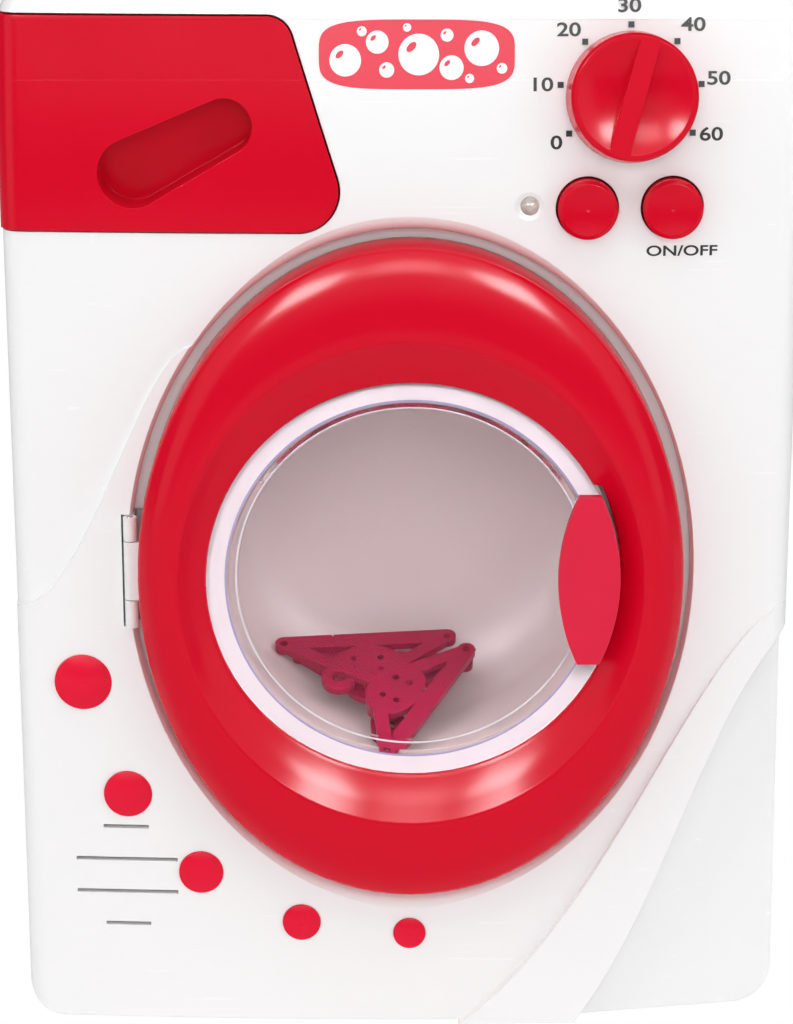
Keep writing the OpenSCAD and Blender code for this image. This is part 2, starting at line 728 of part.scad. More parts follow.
module tub() color(white) from_face() difference() {
    union() {
        rod(win_x, win_z, recess_back, tub_back + drum_wall, tub_r + drum_wall);
        rod(win_x, win_z, tub_back, tub_back + bush_len, axle_r + bush_wall + 3.5);
        slab(recess_back + tub_post, recess_back + tub_post + tub_ear_t) translate([win_x, win_z])
            for (p = tub_ears) bar2d(p * (tub_r / tub_ear_r), p, tub_ear_w);
        for (p = gear_posts) rod(win_x + p.x, win_z + p.y, tub_back + 1, plate_y, 3.4);
        rod(win_x, win_z + idler_z, tub_back + 1, gear_y - run, 4);
    }
    rod(win_x, win_z, recess_back - 1, tub_back, tub_r);
    rod(win_x, win_z, tub_back - 1, tub_back + bush_len + 1, axle_r + bush_wall);
    for (p = tub_ears) rod(win_x + p.x, win_z + p.y, recess_back, recess_back + tub_post + 10, screw_r + fit);
    for (p = gear_posts) rod(win_x + p.x, win_z + p.y, plate_y - 9, plate_y + 1, screw_r);
    rod(win_x, win_z + idler_z, tub_back + 0.6, tub_back + 20, idler_pin_r);
}

module tub_screws() color(steel) from_face()
    for (p = tub_ears) screw(win_x + p.x, win_z + p.y, recess_back + 0.8, recess_back + tub_post + tub_ear_t);

// Outline of the drum's inside or outside: radius and depth
module drum_profile(r, y_back, bowl) {
    translate([0, drum_mouth]) square([r, y_back - bowl - drum_mouth]);
    translate([0, y_back - bowl - 1]) square([r - bowl, bowl + 1]);
    intersection() {
        translate([r - bowl, y_back - bowl]) circle(bowl);
        translate([r - bowl - eps, y_back - bowl - eps]) square(bowl + 1);
    }
}

module drum() color(white) from_face() about(win_x, win_z) difference() {
    union() {
        rotate_extrude() drum_profile(drum_r + drum_wall, drum_back + drum_wall, drum_bowl_r + drum_wall);
        translate([0, 0, drum_back]) cylinder(r = axle_r + 4.5, h = drum_wall + hub_len);
        // Six ribs behind the drum carry the hub
        for (a = [0 : 60 : 300]) rotate(a) translate([0, -1, drum_back + 0.5]) cube([26, 2, hub_len - 1]);
    }
    rotate_extrude() drum_profile(drum_r, drum_back, drum_bowl_r);
    translate([0, 0, drum_mouth - 1]) cylinder(r = drum_r, h = 2);
    translate([0, 0, drum_back + 1]) cylinder(r = axle_r, h = 40);
}

module drum_axle() color(steel) from_face() rod(win_x, win_z, drum_back + 1, plate_y + plate_t + 0.5, axle_r);

module drum_bush() color(brass) from_face()
    tube(win_x, win_z, tub_back - 0.2, tub_back + bush_len, axle_r + bush_wall, axle_r + fit);

// Gear outline with straight-flanked teeth and a tooth on the x axis
function gear_points(n, m) = [for (i = [0 : n - 1], k = [0 : 5])
    let (pitch = 360 / n, side_of = k < 3 ? -1 : 1, j = k < 3 ? k : 5 - k,
         r = m * (n / 2 + [-1.25, 0, 1][j]),
         half = pitch * [0.38, 0.22, 0.085][j])
    r * [cos(i * pitch + side_of * half), sin(i * pitch + side_of * half)]];

module drum_gear() color(white) from_face() about(win_x, win_z, gear_y) difference() {
    union() {
        linear_extrude(gear_t) polygon(gear_points(drum_teeth, slow_module));
        cylinder(r = axle_r + 3, h = plate_y - run - gear_y);
    }
    translate([0, 0, -1]) cylinder(r = axle_r, h = 40);
    for (a = [30 : 60 : 330]) rotate(a) translate([drum_teeth * slow_module * 0.31, 0, -1])
        cylinder(r = 4, h = gear_t + 2);
}

// Local y points down in this frame; the small wheel has a gap there for a tooth of the drum gear
module idler_gear() color(cream) from_face() about(win_x, win_z + idler_z, gear_y) difference() {
    union() {
        rotate(90 + 180 / idler_small_teeth) linear_extrude(gear_t + 1)
            polygon(gear_points(idler_small_teeth, slow_module));
        translate([0, 0, upper_gear_y - gear_y]) rotate(90) linear_extrude(gear_t)
            polygon(gear_points(idler_large_teeth, fast_module));
        cylinder(r = idler_pin_r + 1.5, h = plate_y - run - gear_y);
    }
    translate([0, 0, -1]) cylinder(r = idler_pin_r + fit, h = 40);
}

module idler_pin() color(steel) from_face()
    rod(win_x, win_z + idler_z, tub_back + 0.6, plate_y + plate_t, idler_pin_r);

module motor_pinion() color(brass) from_face() about(win_x, win_z + motor_z, upper_gear_y) {
    rotate(90 + 180 / pinion_teeth) linear_extrude(gear_t) polygon(gear_points(pinion_teeth, fast_module));
    translate([0, 0, gear_t - eps])
        cylinder(r = shaft_motor_r, h = plate_y + plate_t + 6 - upper_gear_y - gear_t);
}

// Plate that closes the gears and carries the motor
module gear_case() color(cream) from_face() difference() {
    slab(plate_y, plate_y + plate_t) translate([win_x, win_z]) {
        bar2d([0, 0], [0, motor_z], 34);
        for (p = gear_posts) bar2d([0, p.y], p, 10);
    }
    rod(win_x, win_z, 0, 200, axle_r + fit);
    rod(win_x, win_z + idler_z, 0, 200, idler_pin_r);
    rod(win_x, win_z + motor_z, 0, 200, 3);
    for (p = gear_posts) rod(win_x + p.x, win_z + p.y, 0, 200, screw_r + fit);
}

module gear_screws() color(steel) from_face()
    for (p = gear_posts) screw(win_x + p.x, win_z + p.y, plate_y - 8, plate_y + plate_t);

module motor() color(steel) from_face() about(win_x, win_z + motor_z, plate_y + plate_t) difference() {
    union() {
        intersection() {
            cylinder(r = motor_r, h = motor_len);
            translate([-motor_r * 0.76, -motor_r - 1, -1])
                cube([motor_r * 1.52, 2 * motor_r + 2, motor_len + 2]);
        }
        translate([0, 0, motor_len - eps]) cylinder(r = 3, h = 2);
    }
    translate([0, 0, -1]) cylinder(r = shaft_motor_r + fit, h = 8);
}

// A point on the red ring; inward moves it towards the middle of the door
function ring_point(t, u, y, inward) =
    let (c = [cos(t), sin(t)],
         a = [door_x + door_rx * c.x, door_z + door_rz * c.y],
         b = [door_x + ridge_rx * c.x, door_z + ridge_rz * c.y],
         w = [win_x + win_r * c.x, win_z + win_r * c.y],
         p = u < 1 ? a + (b - a) * u : b + (w - b) * (u - 1),
         n = ([door_x, door_z] - p) / norm([door_x, door_z] - p),
         q = p + inward * n)
    [q.x, y, q.y];

// The red ring is lofted from the oval edge over the ridge to the round window
module ring_loft(steps) {
    k = len(ring_section);
    points = [for (i = [0 : steps - 1], p = ring_section) ring_point(i * 360 / steps, p[0], p[1], p[2])];
    faces = [for (i = [0 : steps - 1], j = [0 : k - 1], h = [0, 1])
        let (a = i * k + j, b = i * k + (j + 1) % k,
             c = ((i + 1) % steps) * k + (j + 1) % k, d = ((i + 1) % steps) * k + j)
        h == 0 ? [a, b, c] : [a, c, d]];
    polyhedron(points, faces, convexity = 6);
}

// Outline of the handle plate between two arcs
module lens(w, h) {
    sag = w * 0.32;
    r = (h * h / 4 + sag * sag) / (2 * sag);
    intersection() {
        translate([w / 2 - r, 0]) circle(r, $fn = 180);
        translate([r - w / 2, 0]) circle(r, $fn = 180);
        square([w + 2, h], center = true);
    }
}

module door_ring() color(red) from_face() difference() {
    union() {
        ring_loft(96);
        for (p = door_bosses) rod(p.x, p.y, front_y + 2.4, back_y, 3);
    }
    for (p = door_bosses) rod(p.x, p.y, back_y - 9, back_y + 1, small_screw_r);
    // Notch for the handle, open a little above the plate
    slab(-30, 20) translate([handle_x, handle_z]) intersection() {
        lens(handle_w + 2 * run, handle_h + 4.2);
        translate([-20, -handle_h / 2 - run]) square([40, handle_h + 2.2 + run]);
    }
    // Room for the hinge knuckles and for the arm between them
    rod_z(hinge_x, hinge_y, hinge_z0 - 1, hinge_z1 + 1, knuckle_r + 0.4);
    translate([hinge_x, hinge_y - knuckle_r - fit, knuckle_z0 - fit])
        cube([7, 20, knuckle_z1 - knuckle_z0 + 2 * fit]);
}

// White frame behind the red ring: it clamps the window and carries the hinge knuckle
module door_back() color(white) from_face() difference() {
    union() {
        slab(back_y, ring_back) at_door() ellipse(door_rx - skirt_wall - run, door_rz - skirt_wall - run);
        tube(win_x, win_z, flange_y + flange_t, ring_back, win_r + 3.6, win_r + 0.6);
        // Arm and middle knuckle of the hinge
        translate([hinge_x, hinge_y, knuckle_z0]) {
            cylinder(r = knuckle_r, h = knuckle_z1 - knuckle_z0);
            translate([-0.2, -knuckle_r, 0]) cube([6, 1.4, knuckle_z1 - knuckle_z0]);
            translate([4.2, -knuckle_r, 0])
                cube([1.8, ring_back - hinge_y + knuckle_r, knuckle_z1 - knuckle_z0]);
        }
    }
    rod(win_x, win_z, -20, 20, win_r + 0.6);
    for (p = door_bosses) {
        rod(p.x, p.y, -5, 20, small_screw_r + fit);
        rod(p.x, p.y, ring_back - screw_head_t, 20, small_head_r + 0.2);
    }
    rod_z(hinge_x, hinge_y, 0, 300, hinge_pin_r + fit);
    slab(back_y - 1, 20) translate([hook_x - hook_t / 2, door_z - hook_w / 2]) square([hook_t, hook_w]);
}

// Clear window: a flat rim, a step and a dished pane
module door_window() color(clear) from_face() about(win_x, win_z) rotate_extrude($fn = 180) {
    y0 = flange_y;
    t = flange_t;
    polygon([[win_r + 3.2, y0], [win_r + 3.2, y0 + t], [step_r - 0.4, y0 + t], [pane_r + 0.6, y0 + 6.2],
        [pane_r * 0.6, y0 + 8.4], [0, y0 + 9.2],
        [0, y0 + 9.2 - pane_wall], [pane_r * 0.6, y0 + 8.4 - pane_wall],
        [pane_r, y0 + 6.2 - pane_wall], [pane_r + 0.2, y0 + 3.4], [step_r, y0]]);
}

// Handle plate on a foot that stands on the window's rim
module door_handle() color(handle_red) from_face() {
    slab(handle_y, handle_y + handle_t) translate([handle_x, handle_z]) lens(handle_w, handle_h);
    intersection() {
        slab(handle_y + 1, flange_y) translate([handle_x, handle_z]) lens(handle_w, handle_h - 8);
        tube(win_x, win_z, -20, back_y, win_r - fit, step_r + 1.4);
    }
}

module door_screws() color(steel) from_face()
    for (p = door_bosses) screw(p.x, p.y, back_y - 8, ring_back - screw_head_t, small_screw_r, small_head_r);

// Springy hook behind the door, and the edge that it snaps behind
module door_hook() color(white) from_face() translate([hook_x - hook_t / 2, back_y, door_z - hook_w / 2]) {
    cube([hook_t, recess_back + 5 - back_y, hook_w]);
    translate([hook_t - eps, recess_back + 1.8 - back_y, 0]) cube([barb + eps, 2.2, hook_w]);
}

module catch_strike() color(white) from_face()
    slab(recess_back, recess_back + 1.2)
        translate([hook_x + hook_t / 2 + barb + hook_swing, door_z - hook_w / 2 - 2])
        square([3, hook_w + 4]);

// Fixed knuckles on a plate behind the floor of the recess
module hinge_bracket() color(white) from_face() difference() {
    union() {
        for (z = [[hinge_z0, knuckle_z0 - run], [knuckle_z1 + run, hinge_z1]]) {
            rod_z(hinge_x, hinge_y, z[0], z[1], knuckle_r);
            translate([hinge_x - 1, hinge_y, z[0]]) cube([2, recess_back - hinge_y + 1, z[1] - z[0]]);
        }
        slab(recess_back, recess_back + 2)
            rounded_box(hinge_x - 4, hinge_z0 - 5, hinge_x + 11.5, hinge_z1 + 5, 1.5);
    }
    rod_z(hinge_x, hinge_y, 0, 300, hinge_pin_r + fit);
}

module hinge_pin() color(steel) from_face() rod_z(hinge_x, hinge_y, hinge_z0, hinge_z1, hinge_pin_r);

// Knob with a bar across it and a hollow on each side
module knob() color(red) from_face() at_knob() difference() {
    union() {
        rotate_extrude() polygon([[0, 0.5], [knob_r, 0.5], [knob_r - 0.6, knob_h - 0.8],
            [knob_r - 1.4, knob_h], [0, knob_h]]);
        translate([0, 0, -knob_seat - 0.4]) cylinder(r = shaft_r, h = knob_seat + 2);
    }
    for (s = [-1, 1]) rotate(-bar_angle) intersection() {
        translate([0, 0, knob_h - dish_depth + dish_ball]) rotate([90, 0, 0]) sphere(dish_ball);
        translate([s > 0 ? bar_w / 2 : -30, -30, knob_h - dish_depth - 1])
            cube([30 - bar_w / 2, 60, dish_depth + 3]);
    }
    // Hollow underside round the shaft
    difference() {
        translate([0, 0, -1]) cylinder(r = knob_r - 2, h = knob_h - dish_depth - 1);
        translate([0, 0, -2]) cylinder(r = shaft_r, h = 20);
    }
    translate([0, 0, -knob_seat - 2]) cylinder(r = small_screw_r, h = 8);
}

module knob_washer() color(steel) from_face() at_knob() translate([0, 0, -knob_seat - 1.4])
    difference() {
        cylinder(r = shaft_r + 3, h = 1);
        translate([0, 0, -1]) cylinder(r = small_screw_r + fit, h = 4);
    }

module knob_screw() color(steel) from_face() at_knob() {
    translate([0, 0, -knob_seat - 3.2]) cylinder(r = small_head_r, h = 1.8);
    translate([0, 0, -knob_seat - 3]) cylinder(r = small_screw_r, h = 8);
}

module button(x) color(red) from_face() on_panel(x, button_z) difference() {
    union() {
        translate([0, 0, button_back]) cylinder(r = button_r, h = button_h - 0.8 - button_back);
        translate([0, 0, button_h - 0.8 - eps]) cylinder(r1 = button_r, r2 = button_r - 1, h = 0.8);
        // Collar that stops the button behind its sleeve
        translate([0, 0, button_back]) cylinder(r = button_r + button_gap + 1.2, h = collar_t);
    }
    translate([0, 0, button_h + 29.2]) sphere(30);
    translate([0, 0, button_back - 1]) cylinder(r = button_r - 1.6, h = button_roof - button_back + 1);
}

module button_left() button(left_button_x);
module button_right() button(right_button_x);

// Where the plunger ends, along the button's own line
function plunger_tip(x) = -(switch_y - surf(x, button_z)) / cos(lean_at(button_z)) - plunger_dip;

// Plunger between the button and its switch
module plunger(x) color(white) from_face() on_panel(x, button_z) translate([0, 0, plunger_tip(x)])
    cylinder(r = plunger_r, h = button_roof - plunger_tip(x));

module plunger_left() plunger(left_button_x);
module plunger_right() plunger(right_button_x);

module switch_body(x) color(black) from_face() difference() {
    translate([x - 5, switch_y, button_z - 5.8]) cube([10, board_y - switch_y, 10]);
    on_panel(x, button_z) translate([0, 0, plunger_tip(x) - button_travel - 0.4])
        cylinder(r = plunger_r + run, h = 20);
}

module switch_left() switch_body(left_button_x);
module switch_right() switch_body(right_button_x);

module control_board() color(tan_board) from_face() difference() {
    slab(board_y, board_y + board_t) rounded_box(17, 227, 93, 267, 2);
    for (p = board_posts) rod(p.x, p.y, 0, 60, small_screw_r);
    led_legs(0.5);
}

module led_legs(r) on_panel(led_x, led_z)
    for (s = [-1, 1]) translate([s * 1.27, 0, -board_y - 1]) cylinder(r = r, h = 21);

module led() color([0.85, 0.85, 0.82]) from_face() {
    on_panel(led_x, led_z) {
        translate([0, 0, -6]) cylinder(r = led_r, h = 6);
        sphere(led_r);
        translate([0, 0, -7]) cylinder(r = led_r + 0.5, h = 1 + eps);
    }
    led_legs(0.35);
}

// Loudspeaker behind the slots
module speaker_basket() color(black) from_face() difference() {
    union() {
        slab(speaker_y, speaker_y + 2) bar2d(speaker_ears[0], speaker_ears[1], 6.6);
        rod(speaker_x, speaker_z, speaker_y, speaker_y + 2, speaker_r);
        about(speaker_x, speaker_z, speaker_y + 2 - eps) cylinder(r1 = speaker_r, r2 = 9, h = 5);
    }
    rod(speaker_x, speaker_z, speaker_y - 1, speaker_y + 2, speaker_r - 2.5);
    about(speaker_x, speaker_z, speaker_y + 2 - 2 * eps) cylinder(r1 = speaker_r - 2.5, r2 = 7.4, h = 5.1);
    for (p = speaker_ears) rod(p.x, p.y, 0, 60, small_screw_r + fit);
}

module speaker_cone() color([0.25, 0.25, 0.27]) from_face() about(speaker_x, speaker_z, speaker_y + 0.2) {
    difference() {
        cylinder(r1 = speaker_r - 2.5, r2 = 6, h = 5);
        translate([0, 0, -1]) cylinder(r1 = speaker_r - 1.3, r2 = 5, h = 5.2);
    }
    translate([0, 0, 4.6]) cylinder(r = 5, h = 2.19);
}

module speaker_magnet() color(steel) from_face()
    rod(speaker_x, speaker_z, speaker_y + 7 - eps, speaker_y + 13, 9);

module speaker_screws() color(steel) from_face()
    for (p = speaker_ears) screw(p.x, p.y, speaker_y - 5, speaker_y + 2, small_screw_r, small_head_r);

// The finger pocket is made of a round piece at each end and a straight-sided middle
module pocket_part(i, grow, y1) {
    if (i == 0) rod(slot_low.x, slot_low.y, -12, y1, slot_low_r + grow);
    if (i == 1) rod(slot_high.x, slot_high.y, -12, y1, slot_high_r + grow);
    if (i == 2) slab(-12, y1) slot_middle(slot_low, slot_low_r + grow, slot_high, slot_high_r + grow);
}

// Drawer front: part of the case's form, standing a little proud, with a pocket for a finger
module drawer_front() color(red) from_face() difference() {
    union() {
        difference() {
            intersection() {
                difference() {
                    case_form(drawer_proud);
                    case_form(drawer_proud - drawer_wall);
                }
                slab(-12, drawer_wrap) polygon(drawer_points(0));
            }
            slab(-14, drawer_wrap + 1) drawer_corners(0);
        }
        for (i = [0 : 2]) intersection() {
            case_form(-0.5);
            pocket_part(i, pocket_wall, tray_y);
        }
    }
    for (i = [0 : 2]) pocket_part(i, 0, pocket_depth);
}

// Tray with two compartments
module drawer_tray() color(white) from_face() difference() {
    translate([tray_x0, tray_y, tray_z0]) cube([tray_x1 - tray_x0, tray_len, tray_z1 - tray_z0]);
    for (i = [0, 1]) let (w = (tray_x1 - tray_x0 - 3 * tray_wall) / 2)
        translate([tray_x0 + tray_wall + i * (w + tray_wall), tray_y + tray_wall, tray_z0 + tray_wall])
            cube([w, tray_len - 2 * tray_wall, 60]);
}

// Channel that the tray runs in, with a flange on the inside of the case front
module drawer_guide() color(white) from_face() intersection() {
    case_form(-wall);
    union() {
        difference() {
            translate([tray_x0 - run - guide_wall, 2, tray_z0 - run - guide_wall])
                cube([tray_x1 - tray_x0 + 2 * (run + guide_wall), tray_y + tray_len + 6, 24]);
            translate([tray_x0 - run, 0, tray_z0 - run])
                cube([tray_x1 - tray_x0 + 2 * run, tray_len + 20, 40]);
        }
        difference() {
            slab(-5, 20) translate([tray_x0, drawer_z0 - 8])
                square([tray_x1 - tray_x0, tray_z0 - run - drawer_z0 + 8]);
            case_form(-wall - guide_wall);
        }
    }
}

// Battery box behind a frame in the back, with its cells, contacts and cover
module battery_box() color(black) from_face() difference() {
    union() {
        slab(cell_y - cell_r - 2, box_back) rounded_box(-box_w / 2, box_z0, box_w / 2, box_z1, 1);
        slab(body_d - wall - frame_t - 2, body_d - wall - frame_t)
            rounded_box(-box_w / 2 - 2.5, box_z0 - 2.5, box_w / 2 + 2.5, box_z1 + 2.5, 1);
    }
    slab(cell_y - cell_r - 0.2, body_d) translate([-box_w / 2 + box_wall, box_z0 + box_wall])
        square([box_w - 2 * box_wall, box_z1 - box_z0 - 2 * box_wall]);
}

// Every second cell lies the other way round
module each_cell() for (i = [0 : cells - 1]) translate([0, cell_y, cell_z + i * cell_pitch])
    rotate([0, i % 2 == 0 ? 90 : -90, 0]) translate([0, 0, -cell_len / 2]) children();

module battery_contacts() color(steel) from_face() each_cell() {
    translate([-4, -4, -2]) cube([8, 8, 0.5]);
    translate([0, 0, -1.5 - eps]) cylinder(r1 = 3.4, r2 = 2.4, h = 1.5);
    translate([-4, -4, cell_len + 1.5]) cube([8, 8, 0.5]);
}

module batteries() color([0.3, 0.32, 0.35]) from_face() each_cell() {
    cylinder(r = cell_r, h = cell_len);
    translate([0, 0, cell_len - eps]) cylinder(r = 2.7, h = 1.4);
}

module battery_cover() color(white) from_face() difference() {
    slab(box_back, body_d) rounded_box(-cover_w / 2, cover_z0, cover_w / 2, cover_z1, 2);
    rod(0, cover_screw_z, body_d - 10, body_d + 1, small_screw_r + fit);
    rod(0, cover_screw_z, body_d - 1.2, body_d + 1, small_head_r + 0.2);
    for (i = [0 : 2]) slab(body_d - 0.6, body_d + 1) translate([-12, cover_z0 + 6 + 3 * i]) square([24, 1.2]);
}

module cover_screw() color(steel) from_face() {
    rod(0, cover_screw_z, body_d - wall - frame_t + 0.5, body_d - 1.2, small_screw_r);
    rod(0, cover_screw_z, body_d - 1.2, body_d - 0.2, small_head_r);
}

// Flat toy clothes hanger: bar, two shoulders, an oval middle with holes, neck and hook
module hanger_outline() difference() {
    end = hanger_w / 2 - 2.6;
    union() {
        bar2d([-end, 0], [end, 0], 5.2);
        for (s = [-1, 1]) bar2d([s * end, 0], [0, 17], 4);
        translate([0, 10.5]) scale([1.35, 1]) circle(8);
        bar2d([0, 17], [0, 27.4], 3);
        translate([-3.7, 27.4]) difference() {
            circle(5.2);
            circle(2.2);
            translate([-0.6, -9]) square([9, 9]);
        }
        translate([-4.3, 23.7]) circle(1.5);
    }
    for (s = [-1, 1]) {
        translate([s * end, 0.2]) circle(1.1);
        translate([s * 4, 8]) circle(1);
        translate([s * 4, 12.6]) circle(1);
    }
}

// A hanger in the sloping pile: layer counted down from the top, place and turn within the layer
module piled(layer, x, v, turn) color(red) from_face()
    translate([win_x, pile_y, pile_z]) rotate([pile_slope, 0, 0])
        translate([x, v, -layer * (hanger_t + 0.15)]) rotate(turn)
            linear_extrude(hanger_t) hanger_outline();

module hanger_1() piled(0, 4.7, 23.2, 61.4);
module hanger_2() piled(1, -13.5, 51.4, 184);
module hanger_3() piled(2, -8.5, 46.6, 176);

front_shell();
rear_shell();
feet();
case_screws();
dots();
tub();
tub_screws();
drum();
drum_axle();
drum_bush();
drum_gear();
idler_gear();
idler_pin();
gear_case();
gear_screws();
motor();
motor_pinion();
door_ring();
door_back();
door_window();
door_handle();
door_screws();
door_hook();
catch_strike();
hinge_bracket();
hinge_pin();
knob();
knob_washer();
knob_screw();
button_left();
button_right();
plunger_left();
plunger_right();
switch_left();
switch_right();
control_board();
led();
speaker_basket();
speaker_cone();
speaker_magnet();
speaker_screws();
drawer_front();
drawer_tray();
drawer_guide();
battery_box();
battery_contacts();
batteries();
battery_cover();
cover_screw();
hanger_1();
hanger_2();
hanger_3();
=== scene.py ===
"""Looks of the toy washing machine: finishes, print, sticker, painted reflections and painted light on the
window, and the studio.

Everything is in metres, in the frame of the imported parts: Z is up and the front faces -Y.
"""

from __future__ import annotations

import json
import logging
import math
from dataclasses import dataclass
from enum import Enum
from typing import Sequence

import bmesh
import bpy
from mathutils import Matrix, Vector

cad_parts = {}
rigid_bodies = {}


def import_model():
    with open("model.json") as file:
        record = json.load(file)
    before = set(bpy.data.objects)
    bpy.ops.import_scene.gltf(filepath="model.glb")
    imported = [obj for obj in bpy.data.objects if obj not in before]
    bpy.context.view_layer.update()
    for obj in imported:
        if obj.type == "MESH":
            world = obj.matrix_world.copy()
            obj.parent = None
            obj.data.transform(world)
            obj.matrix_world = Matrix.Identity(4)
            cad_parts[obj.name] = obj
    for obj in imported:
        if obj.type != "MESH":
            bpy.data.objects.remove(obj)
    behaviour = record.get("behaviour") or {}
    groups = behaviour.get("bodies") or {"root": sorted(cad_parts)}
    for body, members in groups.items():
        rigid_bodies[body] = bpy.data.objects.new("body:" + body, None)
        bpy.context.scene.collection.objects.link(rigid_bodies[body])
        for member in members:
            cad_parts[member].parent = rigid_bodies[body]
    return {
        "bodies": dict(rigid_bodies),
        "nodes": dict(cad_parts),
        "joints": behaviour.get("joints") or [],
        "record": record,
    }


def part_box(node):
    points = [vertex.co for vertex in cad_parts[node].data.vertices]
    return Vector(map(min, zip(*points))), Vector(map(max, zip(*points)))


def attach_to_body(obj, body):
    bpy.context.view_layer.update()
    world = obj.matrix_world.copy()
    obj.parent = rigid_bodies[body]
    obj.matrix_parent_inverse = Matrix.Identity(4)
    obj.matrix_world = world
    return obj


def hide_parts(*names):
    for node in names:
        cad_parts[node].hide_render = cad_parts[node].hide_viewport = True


MM = 0.001
log = logging.getLogger("washing_machine")

Colour = tuple[float, float, float]
Place = tuple[float, float]
Point = tuple[float, float, float]


class Surface(Enum):
    """How a surface was made, which decides its fine relief."""

    POLISHED = "polished mould"
    SPARKED = "spark-eroded mould"
    TURNED = "turned or rolled metal"
    FIBROUS = "pressed paper"


class Graph:
    """Short way to fill a node tree."""

    def __init__(self, tree: bpy.types.NodeTree) -> None:
        """Keeps the tree that is filled.

        Args:
            tree: A shader or geometry node tree.
        """
        self.tree = tree

    def add(self, kind: str, **settings: object) -> bpy.types.Node:
        """Adds a node.

        Args:
            kind: Blender's name for the node's type.
            settings: Properties of the node, by name.

        Returns:
            The new node.
        """
        node = self.tree.nodes.new(kind)
        for name, value in settings.items():
            setattr(node, name, value)
        return node

    def join(self, source: bpy.types.NodeSocket, target: bpy.types.NodeSocket) -> None:
        """Links one output to one input."""
        self.tree.links.new(source, target)

    def calc(self, kind: str, a: object, b: object) -> bpy.types.NodeSocket:
        """Adds a math node with two operands.

        Args:
            kind: The operation, such as "MULTIPLY".
            a: A socket or a number.
            b: A socket or a number.

        Returns:
            The node's output.
        """
        node = self.add("ShaderNodeMath", operation=kind)
        for socket, value in zip(node.inputs, (a, b)):
            if isinstance(value, bpy.types.NodeSocket):
                self.join(value, socket)
            else:
                socket.default_value = value
        return node.outputs[0]


def group_tree(name: str, kind: str, inputs: Sequence[tuple],
               outputs: Sequence[tuple]) -> bpy.types.NodeTree:
    """Makes an empty node group with named sockets.

    Args:
        name: Name of the group.
        kind: "ShaderNodeTree" or "GeometryNodeTree".
        inputs: (name, socket type) or (name, socket type, default) of each input.
        outputs: (name, socket type) of each output.

    Returns:
        The new tree, with its input and output nodes.
    """
    tree = bpy.data.node_groups.new(name, kind)
    for label, socket, *default in inputs:
        made = tree.interface.new_socket(label, in_out="INPUT", socket_type=socket)
        if default:
            made.default_value = default[0]
    for label, socket in outputs:
        tree.interface.new_socket(label, in_out="OUTPUT", socket_type=socket)
    tree.nodes.new("NodeGroupInput")
    tree.nodes.new("NodeGroupOutput")
    return tree


def ends(tree: bpy.types.NodeTree) -> tuple[bpy.types.Node, bpy.types.Node]:
    """Returns a group's input and output nodes."""
    return tree.nodes["Group Input"], tree.nodes["Group Output"]


